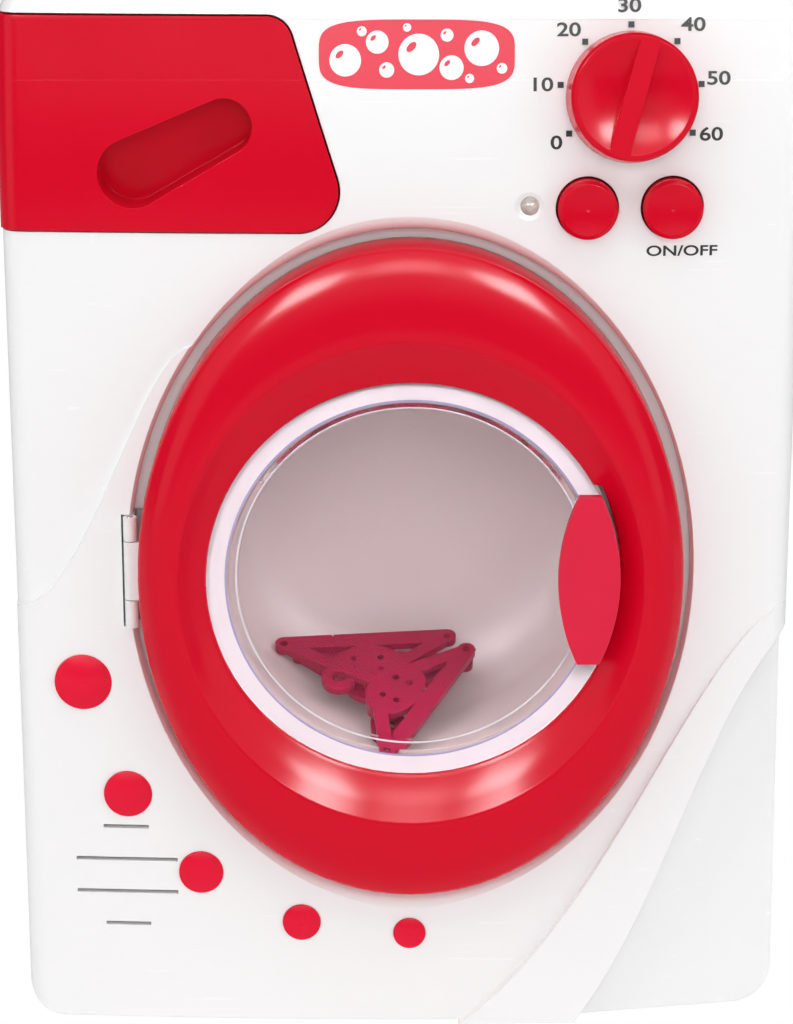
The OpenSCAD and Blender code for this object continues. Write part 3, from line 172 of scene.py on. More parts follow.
class Effects:
    """Shader groups that several materials share. Each is built once.

    Scales are in cells per metre. A range says which inputs give 0 and 1.
    """

    SPECK_SCALE = 2600.0
    SPECK_SHARE = 0.35
    DRIFT_MIDDLE = 0.675
    WAVE_SCALE = 45.0
    SMEAR_SCALE = 55.0
    SMEAR_RANGE = (0.5, 0.78)
    HAIR_TURN = (0.4, 0.9, 0.5)
    HAIR_SCALE = (22.0, 900.0, 900.0)
    HAIR_RANGE = (0.70, 0.76)
    EDGE_RANGE = (0.99, 0.80)

    _built: dict[str, bpy.types.NodeTree] = {}

    @classmethod
    def get(cls, name: str) -> bpy.types.NodeTree:
        """Returns a shared group, building it at its first use.

        Args:
            name: "tint", "grain", "smudges" or "edges".

        Returns:
            The shader node group.
        """
        if name not in cls._built:
            cls._built[name] = getattr(cls, "_" + name)()
        return cls._built[name]

    @staticmethod
    def _noise(g: Graph, scale: object, detail: float, rough: float = 0.5) -> bpy.types.Node:
        """Adds a noise on object coordinates, with a scale in cells per metre."""
        where = g.add("ShaderNodeTexCoord")
        noise = g.add("ShaderNodeTexNoise")
        g.join(where.outputs["Object"], noise.inputs["Vector"])
        if isinstance(scale, bpy.types.NodeSocket):
            g.join(scale, noise.inputs["Scale"])
        else:
            noise.inputs["Scale"].default_value = scale
        noise.inputs["Detail"].default_value = detail
        noise.inputs["Roughness"].default_value = rough
        return noise

    @staticmethod
    def _spread(g: Graph, value: bpy.types.NodeSocket, ends_at: tuple[float, float]) -> bpy.types.NodeSocket:
        """Stretches a value so that a range of it runs from 0 to 1."""
        ramp = g.add("ShaderNodeMapRange")
        ramp.inputs["From Min"].default_value, ramp.inputs["From Max"].default_value = ends_at
        g.join(value, ramp.inputs["Value"])
        return ramp.outputs["Result"]

    @classmethod
    def _tint(cls) -> bpy.types.NodeTree:
        """Colour that drifts a little over the piece, as the melt's pigment does, with fine specks."""
        tree = group_tree("Pigment drift", "ShaderNodeTree",
                          [("Colour", "NodeSocketColor"), ("Amount", "NodeSocketFloat", 0.04),
                           ("Scale", "NodeSocketFloat", 30.0)], [("Colour", "NodeSocketColor")])
        g = Graph(tree)
        start, end = ends(tree)
        broad = cls._noise(g, start.outputs["Scale"], 3.0)
        speck = cls._noise(g, cls.SPECK_SCALE, 1.0)
        fine = g.calc("MULTIPLY", speck.outputs["Fac"], cls.SPECK_SHARE)
        drift = g.calc("SUBTRACT", g.calc("ADD", broad.outputs["Fac"], fine), cls.DRIFT_MIDDLE)
        value = g.calc("ADD", g.calc("MULTIPLY", drift, start.outputs["Amount"]), 1.0)
        shade = g.add("ShaderNodeHueSaturation")
        g.join(start.outputs["Colour"], shade.inputs["Color"])
        g.join(value, shade.inputs["Value"])
        g.join(shade.outputs["Color"], end.inputs["Colour"])
        return tree

    @classmethod
    def _grain(cls) -> bpy.types.NodeTree:
        """Height of the fine relief: small pits over a slow waviness."""
        tree = group_tree("Surface grain", "ShaderNodeTree",
                          [("Scale", "NodeSocketFloat", 3000.0), ("Waviness", "NodeSocketFloat", 0.3)],
                          [("Height", "NodeSocketFloat")])
        g = Graph(tree)
        start, end = ends(tree)
        fine = cls._noise(g, start.outputs["Scale"], 2.0, 0.6)
        slow = cls._noise(g, cls.WAVE_SCALE, 1.0)
        wavy = g.calc("MULTIPLY", slow.outputs["Fac"], start.outputs["Waviness"])
        g.join(g.calc("ADD", fine.outputs["Fac"], wavy), end.inputs["Height"])
        return tree

    @classmethod
    def _smudges(cls) -> bpy.types.NodeTree:
        """Mask of handling marks: soft smudges and hair-fine scratches."""
        tree = group_tree("Handling marks", "ShaderNodeTree", [("Amount", "NodeSocketFloat", 0.2)],
                          [("Mask", "NodeSocketFloat")])
        g = Graph(tree)
        start, end = ends(tree)
        smear = cls._noise(g, cls.SMEAR_SCALE, 5.0, 0.65)
        where = g.add("ShaderNodeTexCoord")
        turned = g.add("ShaderNodeMapping")
        turned.inputs["Rotation"].default_value = cls.HAIR_TURN
        turned.inputs["Scale"].default_value = cls.HAIR_SCALE
        g.join(where.outputs["Object"], turned.inputs["Vector"])
        hair = g.add("ShaderNodeTexNoise")
        hair.inputs["Scale"].default_value = 1.0
        hair.inputs["Detail"].default_value = 2.0
        g.join(turned.outputs["Vector"], hair.inputs["Vector"])
        both = g.calc("ADD", cls._spread(g, smear.outputs["Fac"], cls.SMEAR_RANGE),
                      cls._spread(g, hair.outputs["Fac"], cls.HAIR_RANGE))
        g.join(g.calc("MULTIPLY", both, start.outputs["Amount"]), end.inputs["Mask"])
        return tree

    @classmethod
    def _edges(cls) -> bpy.types.NodeTree:
        """Rounds sharp corners in the shading and marks where they are."""
        tree = group_tree("Softened edges", "ShaderNodeTree", [("Radius", "NodeSocketFloat", 0.0003)],
                          [("Normal", "NodeSocketVector"), ("Mask", "NodeSocketFloat")])
        g = Graph(tree)
        start, end = ends(tree)
        bevel = g.add("ShaderNodeBevel", samples=4)
        g.join(start.outputs["Radius"], bevel.inputs["Radius"])
        surface = g.add("ShaderNodeNewGeometry")
        dot = g.add("ShaderNodeVectorMath", operation="DOT_PRODUCT")
        g.join(bevel.outputs["Normal"], dot.inputs[0])
        g.join(surface.outputs["Normal"], dot.inputs[1])
        g.join(bevel.outputs["Normal"], end.inputs["Normal"])
        g.join(cls._spread(g, dot.outputs["Value"], cls.EDGE_RANGE), end.inputs["Mask"])
        return tree


@dataclass(frozen=True)
class Look:
    """What all finishes have in common.

    Args:
        name: Name of the material.
        colour: Base colour, linear.
    """

    name: str
    colour: Colour

    def material(self) -> bpy.types.Material:
        """Builds the material, or returns the one already built."""
        made = bpy.data.materials.get(self.name)
        if made is None:
            made = bpy.data.materials.new(self.name)
            made.use_nodes = True
            self._fill(Graph(made.node_tree), made.node_tree.nodes["Principled BSDF"])
        return made

    def _fill(self, g: Graph, shader: bpy.types.Node) -> None:
        """Sets the shader's inputs and links its effects."""
        raise NotImplementedError

    @staticmethod
    def _effect(g: Graph, effect: str, **values: object) -> bpy.types.Node:
        """Places a shared effect with this look's own values."""
        node = g.add("ShaderNodeGroup", node_tree=Effects.get(effect))
        for name, value in values.items():
            node.inputs[name].default_value = value
        return node

    @classmethod
    def _roughen(cls, g: Graph, shader: bpy.types.Node, roughness: float, marks: float) -> None:
        """Sets the roughness: handling marks make a surface duller."""
        mask = cls._effect(g, "smudges", Amount=marks).outputs["Mask"]
        g.join(g.calc("ADD", mask, roughness), shader.inputs["Roughness"])

    @staticmethod
    def _relieve(g: Graph, shader: bpy.types.Node, height: bpy.types.NodeSocket,
                 depth: float) -> bpy.types.Node:
        """Sets the fine relief from a height, and returns the bump node."""
        bump = g.add("ShaderNodeBump")
        bump.inputs["Distance"].default_value = depth
        g.join(height, bump.inputs["Height"])
        g.join(bump.outputs["Normal"], shader.inputs["Normal"])
        return bump


WAVINESS = {Surface.POLISHED: 1.2, Surface.SPARKED: 0.2, Surface.TURNED: 0.1, Surface.FIBROUS: 2.0}


@dataclass(frozen=True)
class Finish(Look):
    """An opaque finish.

    Args:
        roughness: Roughness of a clean spot.
        surface: How the surface was made.
        drift: How far the colour drifts over the piece.
        grain: Fine relief in cells per metre.
        relief: Depth of that relief in metres.
        marks: Strength of handling marks.
        wear_and_sheen_colour: Paler colour on sharp edges. On the handle it is a painted highlight on the
            rounded edges, and on the black plastic it gives lighter edges.
        wear_and_sheen: How strongly it shows there.
        metallic: 1 for metal.
        specular: Specular level.
        coat: Weight of a clear top layer, as on polished gloss mouldings.
        radius: Rounding of sharp edges in metres.
    """

    COAT_ROUGHNESS = 0.06

    roughness: float = 0.3
    surface: Surface = Surface.POLISHED
    drift: float = 0.05
    grain: float = 2600.0
    relief: float = 0.000004
    marks: float = 0.12
    wear_and_sheen_colour: Colour = (0.9, 0.9, 0.9)
    wear_and_sheen: float = 0.0
    metallic: float = 0.0
    specular: float = 0.5
    coat: float = 0.0
    radius: float = 0.0003

    def _fill(self, g: Graph, shader: bpy.types.Node) -> None:
        """Sets the colour, gloss and relief."""
        shader.inputs["Metallic"].default_value = self.metallic
        shader.inputs["Specular IOR Level"].default_value = self.specular
        shader.inputs["Coat Weight"].default_value = self.coat
        shader.inputs["Coat Roughness"].default_value = self.COAT_ROUGHNESS
        edges = self._effect(g, "edges", Radius=self.radius)
        self._paint(g, shader, edges)
        self._roughen(g, shader, self.roughness, self.marks)
        grain = self._effect(g, "grain", Scale=self.grain, Waviness=WAVINESS[self.surface])
        bump = self._relieve(g, shader, grain.outputs["Height"], self.relief)
        g.join(edges.outputs["Normal"], bump.inputs["Normal"])

    def _paint(self, g: Graph, shader: bpy.types.Node, edges: bpy.types.Node) -> None:
        """Sets the colour: pigment drift, and a paler colour on sharp edges where there is any. On the handle
        this paler colour is a painted highlight on the rounded edges.
        """
        tint = self._effect(g, "tint", Amount=self.drift, Colour=(*self.colour, 1.0))
        if not self.wear_and_sheen:
            g.join(tint.outputs["Colour"], shader.inputs["Base Color"])
            return
        # Painted highlight: the edge mask mixes in the paler edge colour, which stands for light on rounded
        # edges such as the handle's.
        mix = g.add("ShaderNodeMix", data_type="RGBA")
        mix.inputs["B"].default_value = (*self.wear_and_sheen_colour, 1.0)
        g.join(tint.outputs["Colour"], mix.inputs["A"])
        g.join(g.calc("MULTIPLY", edges.outputs["Mask"], self.wear_and_sheen), mix.inputs["Factor"])
        g.join(mix.outputs["Result"], shader.inputs["Base Color"])


@dataclass(frozen=True)
class Clear(Look):
    """A clear plastic.

    Args:
        roughness: Roughness of the surface.
        ior: Index of refraction.
        through: Colour of what light it lets through to the pieces behind.
        clearness: Share of the light that passes; the rest is scattered in the body.
        coat: Weight of the bright top layer.
    """

    COAT_ROUGHNESS = 0.02
    DRIFT = 0.02
    MARKS = 0.04
    GRAIN = 300.0
    RELIEF = 0.000004

    roughness: float = 0.03
    ior: float = 1.52
    through: Colour = (0.95, 0.94, 0.96)
    clearness: float = 1.0
    coat: float = 0.0

    def _fill(self, g: Graph, shader: bpy.types.Node) -> None:
        """Sets the clear body, its top layer and the light it lets through."""
        shader.inputs["Transmission Weight"].default_value = self.clearness
        shader.inputs["Coat Weight"].default_value = self.coat
        shader.inputs["Coat Roughness"].default_value = self.COAT_ROUGHNESS
        shader.inputs["IOR"].default_value = self.ior
        tint = self._effect(g, "tint", Amount=self.DRIFT, Colour=(*self.colour, 1.0))
        g.join(tint.outputs["Colour"], shader.inputs["Base Color"])
        self._roughen(g, shader, self.roughness, self.MARKS)
        grain = self._effect(g, "grain", Scale=self.GRAIN)
        self._relieve(g, shader, grain.outputs["Height"], self.RELIEF)
        pass_on = g.add("ShaderNodeBsdfTransparent")
        pass_on.inputs["Color"].default_value = (*self.through, 1.0)
        swap_shader(g, "Is Shadow Ray", shader.outputs["BSDF"], pass_on.outputs["BSDF"])


def swap_shader(g: Graph, ray: str, usual: bpy.types.NodeSocket, other: bpy.types.NodeSocket) -> None:
    """Gives a material another shader for one kind of ray.

    Args:
        g: The material's nodes.
        ray: Output of the light path that names the kind of ray.
        usual: Shader of all other rays.
        other: Shader of these rays.
    """
    path = g.add("ShaderNodeLightPath")
    mix = g.add("ShaderNodeMixShader")
    g.join(path.outputs[ray], mix.inputs["Fac"])
    g.join(usual, mix.inputs[1])
    g.join(other, mix.inputs[2])
    g.join(mix.outputs["Shader"], g.tree.nodes["Material Output"].inputs["Surface"])


RED: Colour = (0.64, 0.0010, 0.018)
WHITE: Colour = (0.88, 0.88, 0.885)

FINISHES: dict[str, Look] = {
    "case_white": Finish("White gloss", WHITE, 0.26, drift=0.008, coat=0.1, relief=0.000001, marks=0.02),
    "inner_white": Finish("White satin", (0.82, 0.82, 0.82), 0.42, Surface.SPARKED, relief=0.000008),
    # The drum is white plastic. Its colour is painted darker and pinkish: painted shade inside the drum, with a
    # painted pink cast of light bounced off the red door.
    "drum_white": Finish("Drum white with painted shade", (0.57, 0.465, 0.46), 0.5, Surface.SPARKED, drift=0.015),
    "door_red": Finish("Red gloss", RED, 0.2, drift=0.03, specular=0.13, relief=0.000002, marks=0.04),
    "dot_red": Finish("Red dots", (0.78, 0.002, 0.032), 0.28, drift=0.03, specular=0.18, marks=0.05),
    # The handle's paler pink edges are a painted highlight on its rounded bevel.
    "handle_red": Finish("Red satin", (0.70, 0.010, 0.045), 0.5, Surface.SPARKED, drift=0.05, relief=0.00001,
                         wear_and_sheen_colour=(0.85, 0.2, 0.3), wear_and_sheen=0.35, specular=0.15),
    "hanger_red": Finish("Hanger red", (0.27, 0.003, 0.035), 0.3, drift=0.05, specular=0.2),
    "window_clear": Clear("Clear window", (0.985, 0.98, 0.99), ior=1.12, coat=0.12),
    "light_clear": Clear("Clear lamp", (0.68, 0.60, 0.56), 0.2, through=(0.9, 0.88, 0.84), clearness=0.45,
                         coat=0.4),
    "foot_rubber": Finish("Black rubber", (0.02, 0.02, 0.02), 0.75, Surface.SPARKED, drift=0.3, grain=1500.0,
                          relief=0.00003, marks=0.1),
    "black_plastic": Finish("Black plastic", (0.018, 0.018, 0.02), 0.5, Surface.SPARKED, drift=0.2,
                            relief=0.00001, wear_and_sheen_colour=(0.1, 0.1, 0.1), wear_and_sheen=0.5),
    "cone_paper": Finish("Cone paper", (0.03, 0.03, 0.033), 0.85, Surface.FIBROUS, drift=0.4, grain=900.0,
                         relief=0.00005),
    "gear_plastic": Finish("Gear plastic", (0.78, 0.76, 0.68), 0.38, drift=0.05),
    "board_tan": Finish("Board", (0.30, 0.17, 0.06), 0.55, Surface.FIBROUS, drift=0.25, grain=1200.0,
                        relief=0.00001),
    "cell_wrap": Finish("Cell wrap", (0.02, 0.025, 0.035), 0.3, drift=0.1, metallic=0.3, coat=0.5),
    "screw_steel": Finish("Zinc steel", (0.62, 0.61, 0.58), 0.32, Surface.TURNED, drift=0.12, grain=1800.0,
                          metallic=1.0, marks=0.25),
    "axle_steel": Finish("Ground steel", (0.64, 0.64, 0.65), 0.22, Surface.TURNED, drift=0.08, metallic=1.0),
    "motor_steel": Finish("Motor can", (0.55, 0.55, 0.56), 0.35, Surface.TURNED, drift=0.12, metallic=1.0,
                          marks=0.25),
    "bush_brass": Finish("Brass", (0.75, 0.52, 0.2), 0.28, Surface.TURNED, drift=0.15, metallic=1.0),
}
INK = Finish("Black print", (0.012, 0.012, 0.014), 0.4, drift=0.3, relief=0.000001, marks=0.05, radius=0.00002)
STICKER_RED = Finish("Sticker red", (0.78, 0.035, 0.07), 0.4, drift=0.06, relief=0.000001, specular=0.3,
                     marks=0.05, radius=0.00002)
STICKER_WHITE = Finish("Sticker white", (0.88, 0.87, 0.87), 0.4, drift=0.03, relief=0.000001, marks=0.05,
                       radius=0.00002)
FLOOR = Finish("Studio floor", (0.92, 0.92, 0.92), 0.8, Surface.SPARKED, drift=0.01, relief=0.000002, marks=0.0)
# Painted light: a pale, partly clear film over the window's rim that stands for the bright light held in the
# clear rim.
RIM_PAINTED_LIGHT = Clear("Rim painted light", (0.88, 0.83, 0.84), 0.3, clearness=0.8, ior=1.12)
# Painted reflections: a bluish line and a grey line that stand for light refracted at the window's step and at
# the edge of its pane.
STEP_PAINTED_REFLECTION = Finish("Window step painted reflection", (0.42, 0.38, 0.62), 0.25, drift=0.3, relief=0.000001, marks=0.05,
                   radius=0.00002)
PANE_PAINTED_REFLECTION = Finish("Window pane painted reflection", (0.60, 0.57, 0.60), 0.25, drift=0.15, relief=0.000001, marks=0.05,
                   radius=0.00002)


@dataclass(frozen=True)
class Face:
    """The front of the case, which the print follows.

    Args:
        front: Y of the foremost line of the face.
        crown: Radius of the crown across the face.
        bend_height: Height at which the face starts to lean back.
        bend: Radius of that bend.
        lean: Angle of the panel.
    """

    front: float = -73 * MM
    crown: float = 1500 * MM
    bend_height: float = 235 * MM
    bend: float = 250 * MM
    lean: float = math.radians(10)

    def angle(self, z: float) -> float:
        """Returns how far the face leans back at height z."""
        if z <= self.bend_height:
            return 0.0
        return min(self.lean, math.asin(min(1.0, (z - self.bend_height) / self.bend)))

    def y(self, x: float, z: float) -> float:
        """Returns the y of the face at a place on it."""
        top = self.bend_height + self.bend * math.sin(self.lean)
        tilt = self.angle(z)
        back = self.bend * (1 - math.cos(tilt))
        if z > top:
            back += (z - top) * math.tan(self.lean)
        return self.front + self.crown - math.sqrt(self.crown**2 - x * x) + back

    def frame(self, x: float, z: float) -> Matrix:
        """Returns the place (x, z) as a frame: local x to the right, y up the face, z out of it."""
        tilt = self.angle(z)
        up = Vector((0.0, math.sin(tilt), math.cos(tilt)))
        across = Vector((1.0, x / math.sqrt(self.crown**2 - x * x), 0.0)).normalized()
        out = across.cross(up).normalized()
        turn = Matrix((across, out.cross(across), out)).transposed().to_4x4()
        return Matrix.Translation((x, self.y(x, z), z)) @ turn


def new_object(name: str, data: bpy.types.ID) -> bpy.types.Object:
    """Adds a mesh, text, light or camera to the scene under that name and returns its object."""
    made = bpy.data.objects.new(name, data)
    bpy.context.scene.collection.objects.link(made)
    return made


def mesh_object(name: str, bm: bmesh.types.BMesh) -> bpy.types.Object:
    """Turns a finished bmesh into an object, and frees it."""
    mesh = bpy.data.meshes.new(name)
    bm.to_mesh(mesh)
    bm.free()
    return new_object(name, mesh)


def plain_mesh(source: bpy.types.Object, name: str) -> bpy.types.Object:
    """Turns an object with modifiers, or a text, into a plain mesh and removes the original.

    Args:
        source: The object to evaluate.
        name: Name of the result.

    Returns:
        The new object, at the origin of the source's own frame.
    """
    bpy.context.view_layer.update()
    evaluated = source.evaluated_get(bpy.context.evaluated_depsgraph_get())
    mesh = bpy.data.meshes.new_from_object(evaluated)
    place = source.matrix_world.copy()
    bpy.data.objects.remove(source)
    mesh.name = name
    mesh.transform(place)
    return new_object(name, mesh)


def dress(piece: bpy.types.Object, finish: Look) -> bpy.types.Object:
    """Gives a piece one finish and returns the piece."""
    piece.data.materials.clear()
    piece.data.materials.append(finish.material())
    return piece


def joined(name: str, parts: Sequence[bpy.types.Object]) -> bpy.types.Object:
    """Joins plain meshes into one object, each with its own finish.

    Args:
        name: Name of the result.
        parts: Objects whose meshes are joined. They are removed.

    Returns:
        The joined object.
    """
    bm = bmesh.new()
    finishes: list[bpy.types.Material] = []
    for part in parts:
        first = len(bm.faces)
        bm.from_mesh(part.data)
        own = next(iter(part.data.materials), None)
        if own is not None and own not in finishes:
            finishes.append(own)
        bm.faces.ensure_lookup_table()
        for face in bm.faces[first:]:
            face.material_index = finishes.index(own) if own is not None else 0
        bpy.data.objects.remove(part)
    made = mesh_object(name, bm)
    for finish in finishes:
        made.data.materials.append(finish)
    return made


@dataclass
class Skins:
    """Smoothly shaded copies of the moulded nodes, which stand for them.

    Args:
        crease: Angle over which an edge stays sharp.
        weld: Distance under which two points become one.
        sliver: Length under which an edge is dissolved.
        area_weight: How strongly large faces pull the normals.
        nodes: The nodes that are copied.
    """

    crease: float = math.radians(32)
    weld: float = 1e-6
    sliver: float = 1e-7
    area_weight: int = 100
    nodes: tuple[str, ...] = ("door_ring",)

    def build(self, frame: dict, bodies: dict[str, str], slots: dict[str, str]) -> list[bpy.types.Object]:
        """Copies each node, welds the copy and shades it.

        Args:
            bodies: Body of each node.
            slots: Material slot of each node.

        Returns:
            The copies.
        """
        made = []
        for node in self.nodes:
            skin = self.copy(frame["nodes"][node], node + "_skin")
            dress(skin, FINISHES[slots[node]])
            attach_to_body(skin, bodies[node])
            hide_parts(node)
            made.append(skin)
        return made

    def copy(self, source: bpy.types.Object, name: str) -> bpy.types.Object:
        """Welds a copy of a node's triangles and weights its normals by area.

        Args:
            source: The CAD node.
            name: Name of the copy.

        Returns:
            The copy, with its normals in the mesh.
        """
        bm = bmesh.new()
        bm.from_mesh(source.data)
        bmesh.ops.remove_doubles(bm, verts=bm.verts, dist=self.weld)
        bmesh.ops.dissolve_degenerate(bm, edges=bm.edges, dist=self.sliver)
        rough = mesh_object(name + "_raw", bm)
        rough.data.polygons.foreach_set("use_smooth", [True] * len(rough.data.polygons))
        rough.data.set_sharp_from_angle(angle=self.crease)
        weight = rough.modifiers.new("weight", "WEIGHTED_NORMAL")
        weight.keep_sharp = True
        weight.weight = self.area_weight
        return plain_mesh(rough, name)


@dataclass(frozen=True)
class Lettering:
    """Size and weight of printed words.

    Args:
        height: Height of a capital.
        wide: How much wider than the plain font the letters are.
        bold: How much thicker their strokes are, as a share of the font's size.
        ink: Thickness of the print.
    """

    height: float
    wide: float
    bold: float = 0.018
    ink: float = 0.06 * MM

    def word(self, face: Face, words: str, x: float, z: float) -> bpy.types.Object:
        """Prints a word on the face.

        Args:
            face: The face.
            words: What is printed.
            x: Middle of the word across the face.
            z: Height of its middle.

        Returns:
            The word as a plain mesh.
        """
        text = bpy.data.curves.new("word", "FONT")
        text.body = words
        text.align_x = "CENTER"
        text.align_y = "CENTER"
        text.offset = self.bold
        text.size = 1.0
        text.extrude = 0.5
        made = plain_mesh(new_object("word", text), "word_" + words.replace("/", "_"))
        corners = [v.co for v in made.data.vertices]
        low = Vector((min(c[i] for c in corners) for i in range(3)))
        high = Vector((max(c[i] for c in corners) for i in range(3)))
        k = self.height / (high.y - low.y)
        centre = Matrix.Translation(-(low + high) / 2)
        size = Matrix.Diagonal((k * self.wide, k, self.ink, 1.0))
        made.data.transform(face.frame(x, z) @ size @ centre)
        return made


@dataclass
class TimerPrint:
    """Marks and figures round the timer knob.

    Args:
        face: The face that it is printed on.
        middle: Middle of the knob.
        ring: Radius of the ring of marks.
        sweep: Angle from the first mark to the last.
        count: Number of marks.
        mark: Side of a square mark.
        step: Minutes from one figure to the next.
        letters: Size and weight of the figures.
        places: Middle of each figure, from 0 to 60.
    """

    face: Face
    middle: Place = (61 * MM, 273.8 * MM)
    ring: float = 19.1 * MM
    sweep: float = math.radians(240)
    count: int = 7
    mark: float = 1.6 * MM
    step: int = 10
    letters: Lettering = Lettering(3.7 * MM, 1.3)
    places: tuple[Place, ...] = (
        (41.2 * MM, 262.0 * MM), (37.6 * MM, 277.2 * MM), (44.3 * MM, 291.4 * MM), (60.4 * MM, 297.6 * MM),
        (77.4 * MM, 292.6 * MM), (84.4 * MM, 278.6 * MM), (82.6 * MM, 264.0 * MM),
    )

    def build(self) -> bpy.types.Object:
        """Makes all the print of the timer as one piece."""
        figures = [self.letters.word(self.face, str(self.step * i), *place)
                   for i, place in enumerate(self.places)]
        return dress(joined("timer_print", [self.marks(), *figures]), INK)

    def marks(self) -> bpy.types.Object:
        """Runs the tree that sets square marks along an arc.

        Returns:
            The marks as a plain mesh on the panel.
        """
        tree = group_tree("Marks on an arc", "GeometryNodeTree",
                          [("Count", "NodeSocketInt"), ("Radius", "NodeSocketFloat"),
                           ("Sweep", "NodeSocketFloat"), ("Side", "NodeSocketFloat"),
                           ("Thickness", "NodeSocketFloat"), ("Finish", "NodeSocketMaterial")],
                          [("Geometry", "NodeSocketGeometry")])
        g = Graph(tree)
        start, end = ends(tree)
        arc = g.add("GeometryNodeCurveArc", mode="RADIUS")
        g.join(start.outputs["Count"], arc.inputs["Resolution"])
        g.join(start.outputs["Radius"], arc.inputs["Radius"])
        g.join(start.outputs["Sweep"], arc.inputs["Sweep Angle"])
        first = g.calc("MULTIPLY", start.outputs["Sweep"], -0.5)
        g.join(g.calc("ADD", first, math.pi / 2), arc.inputs["Start Angle"])
        cube = g.add("GeometryNodeMeshCube")
        size = g.add("ShaderNodeCombineXYZ")
        g.join(start.outputs["Side"], size.inputs["X"])
        g.join(start.outputs["Side"], size.inputs["Y"])
        g.join(start.outputs["Thickness"], size.inputs["Z"])
        g.join(size.outputs["Vector"], cube.inputs["Size"])
        spots = g.add("GeometryNodeInstanceOnPoints")
        g.join(arc.outputs["Curve"], spots.inputs["Points"])
        g.join(cube.outputs["Mesh"], spots.inputs["Instance"])
        real = g.add("GeometryNodeRealizeInstances")
        g.join(spots.outputs["Instances"], real.inputs["Geometry"])
        paint = g.add("GeometryNodeSetMaterial")
        g.join(real.outputs["Geometry"], paint.inputs["Geometry"])
        g.join(start.outputs["Finish"], paint.inputs["Material"])
        g.join(paint.outputs["Geometry"], end.inputs["Geometry"])
        holder = new_object("marks", bpy.data.meshes.new("marks"))
        run_tree(holder, tree, {"Count": self.count, "Radius": self.ring, "Sweep": self.sweep,
                                "Side": self.mark, "Thickness": self.letters.ink, "Finish": INK.material()})
        made = plain_mesh(holder, "marks")
        made.data.transform(self.face.frame(*self.middle))
        return made


def run_tree(holder: bpy.types.Object, tree: bpy.types.NodeTree, values: dict[str, object]) -> None:
    """Puts a geometry tree on an object and sets its inputs by their identifiers.

    Args:
        holder: The object that gets the modifier.
        tree: The geometry node tree.
        values: Value of each input, by name.
    """
    modifier = holder.modifiers.new(tree.name, "NODES")
    modifier.node_group = tree
    for item in tree.interface.items_tree:
        if item.in_out == "INPUT" and item.name in values:
            modifier[item.identifier] = values[item.name]


@dataclass
class SwitchPrint:
    """The words below the push buttons.

    Args:
        face: The face that it is printed on.
        middle: Middle of the words.
        letters: Size and weight of the letters.
        words: What is printed.
    """

    face: Face
    middle: Place = (75.4 * MM, 232.7 * MM)
    letters: Lettering = Lettering(2.9 * MM, 1.35)
    words: str = "ON/OFF"

    def build(self) -> bpy.types.Object:
        """Makes the words as one piece."""
        made = self.letters.word(self.face, self.words, *self.middle)
        made.name = "switch_print"
        return dress(made, INK)


@dataclass(frozen=True)
class Layer:
    """A thin film that lies on the face.

    Args:
        lift: How far its back is from the face.
        thick: Its thickness.
        finish: Its finish.
        shares: Rings of points from its middle to its edge, as shares of the outline.
    """

    lift: float
    thick: float
    finish: Look
    shares: tuple[float, ...] = (0.25, 0.5, 0.75, 1.0)

    def cut(self, face: Face, outline: Sequence[Place], middle: Place) -> bpy.types.Object:
        """Cuts a film to an outline.

        Args:
            face: The face that carries it.
            outline: Points round its middle, in order.
            middle: Place of its middle on the face.

        Returns:
            The film as a closed mesh.
        """
        bm = bmesh.new()
        count = len(outline)
        edges = []
        for height in (self.lift, self.lift + self.thick):
            rings = [[self._point(bm, face, (middle[0] + share * x, middle[1] + share * z), height)
                      for x, z in outline] for share in self.shares]
            heart = self._point(bm, face, middle, height)
            edges.append(rings[-1])
            for i in range(count):
                k = (i + 1) % count
                bm.faces.new((heart, rings[0][i], rings[0][k]))
                for inner, outer in zip(rings, rings[1:]):
                    bm.faces.new((inner[i], outer[i], outer[k], inner[k]))
        back, front = edges
        for i in range(count):
            k = (i + 1) % count
            bm.faces.new((back[i], back[k], front[k], front[i]))
        bmesh.ops.recalc_face_normals(bm, faces=bm.faces)
        return dress(mesh_object("film", bm), self.finish)

    @staticmethod
    def _point(bm: bmesh.types.BMesh, face: Face, place: Place, height: float) -> bmesh.types.BMVert:
        """Adds a point at a height over a place on the face."""
        return bm.verts.new(face.frame(*place) @ Vector((0.0, 0.0, height)))


def oval(half_wide: float, half_tall: float, power: float = 2.0, count: int = 48,
         turn: float = 0.0) -> list[Place]:
    """Returns the outline of an oval whose corners fill up as the power rises.

    Args:
        half_wide: Half its width.
        half_tall: Half its height.
        power: 2 for an ellipse, more for a rounded rectangle.
        count: Number of points.
        turn: Angle by which it is turned.

    Returns:
        The points, anticlockwise.
    """
    points = []
    for i in range(count):
        angle = 2 * math.pi * i / count
        c, s = math.cos(angle), math.sin(angle)
        x = half_wide * math.copysign(abs(c) ** (2 / power), c)
        z = half_tall * math.copysign(abs(s) ** (2 / power), s)
        points.append((x * math.cos(turn) - z * math.sin(turn), x * math.sin(turn) + z * math.cos(turn)))
    return points


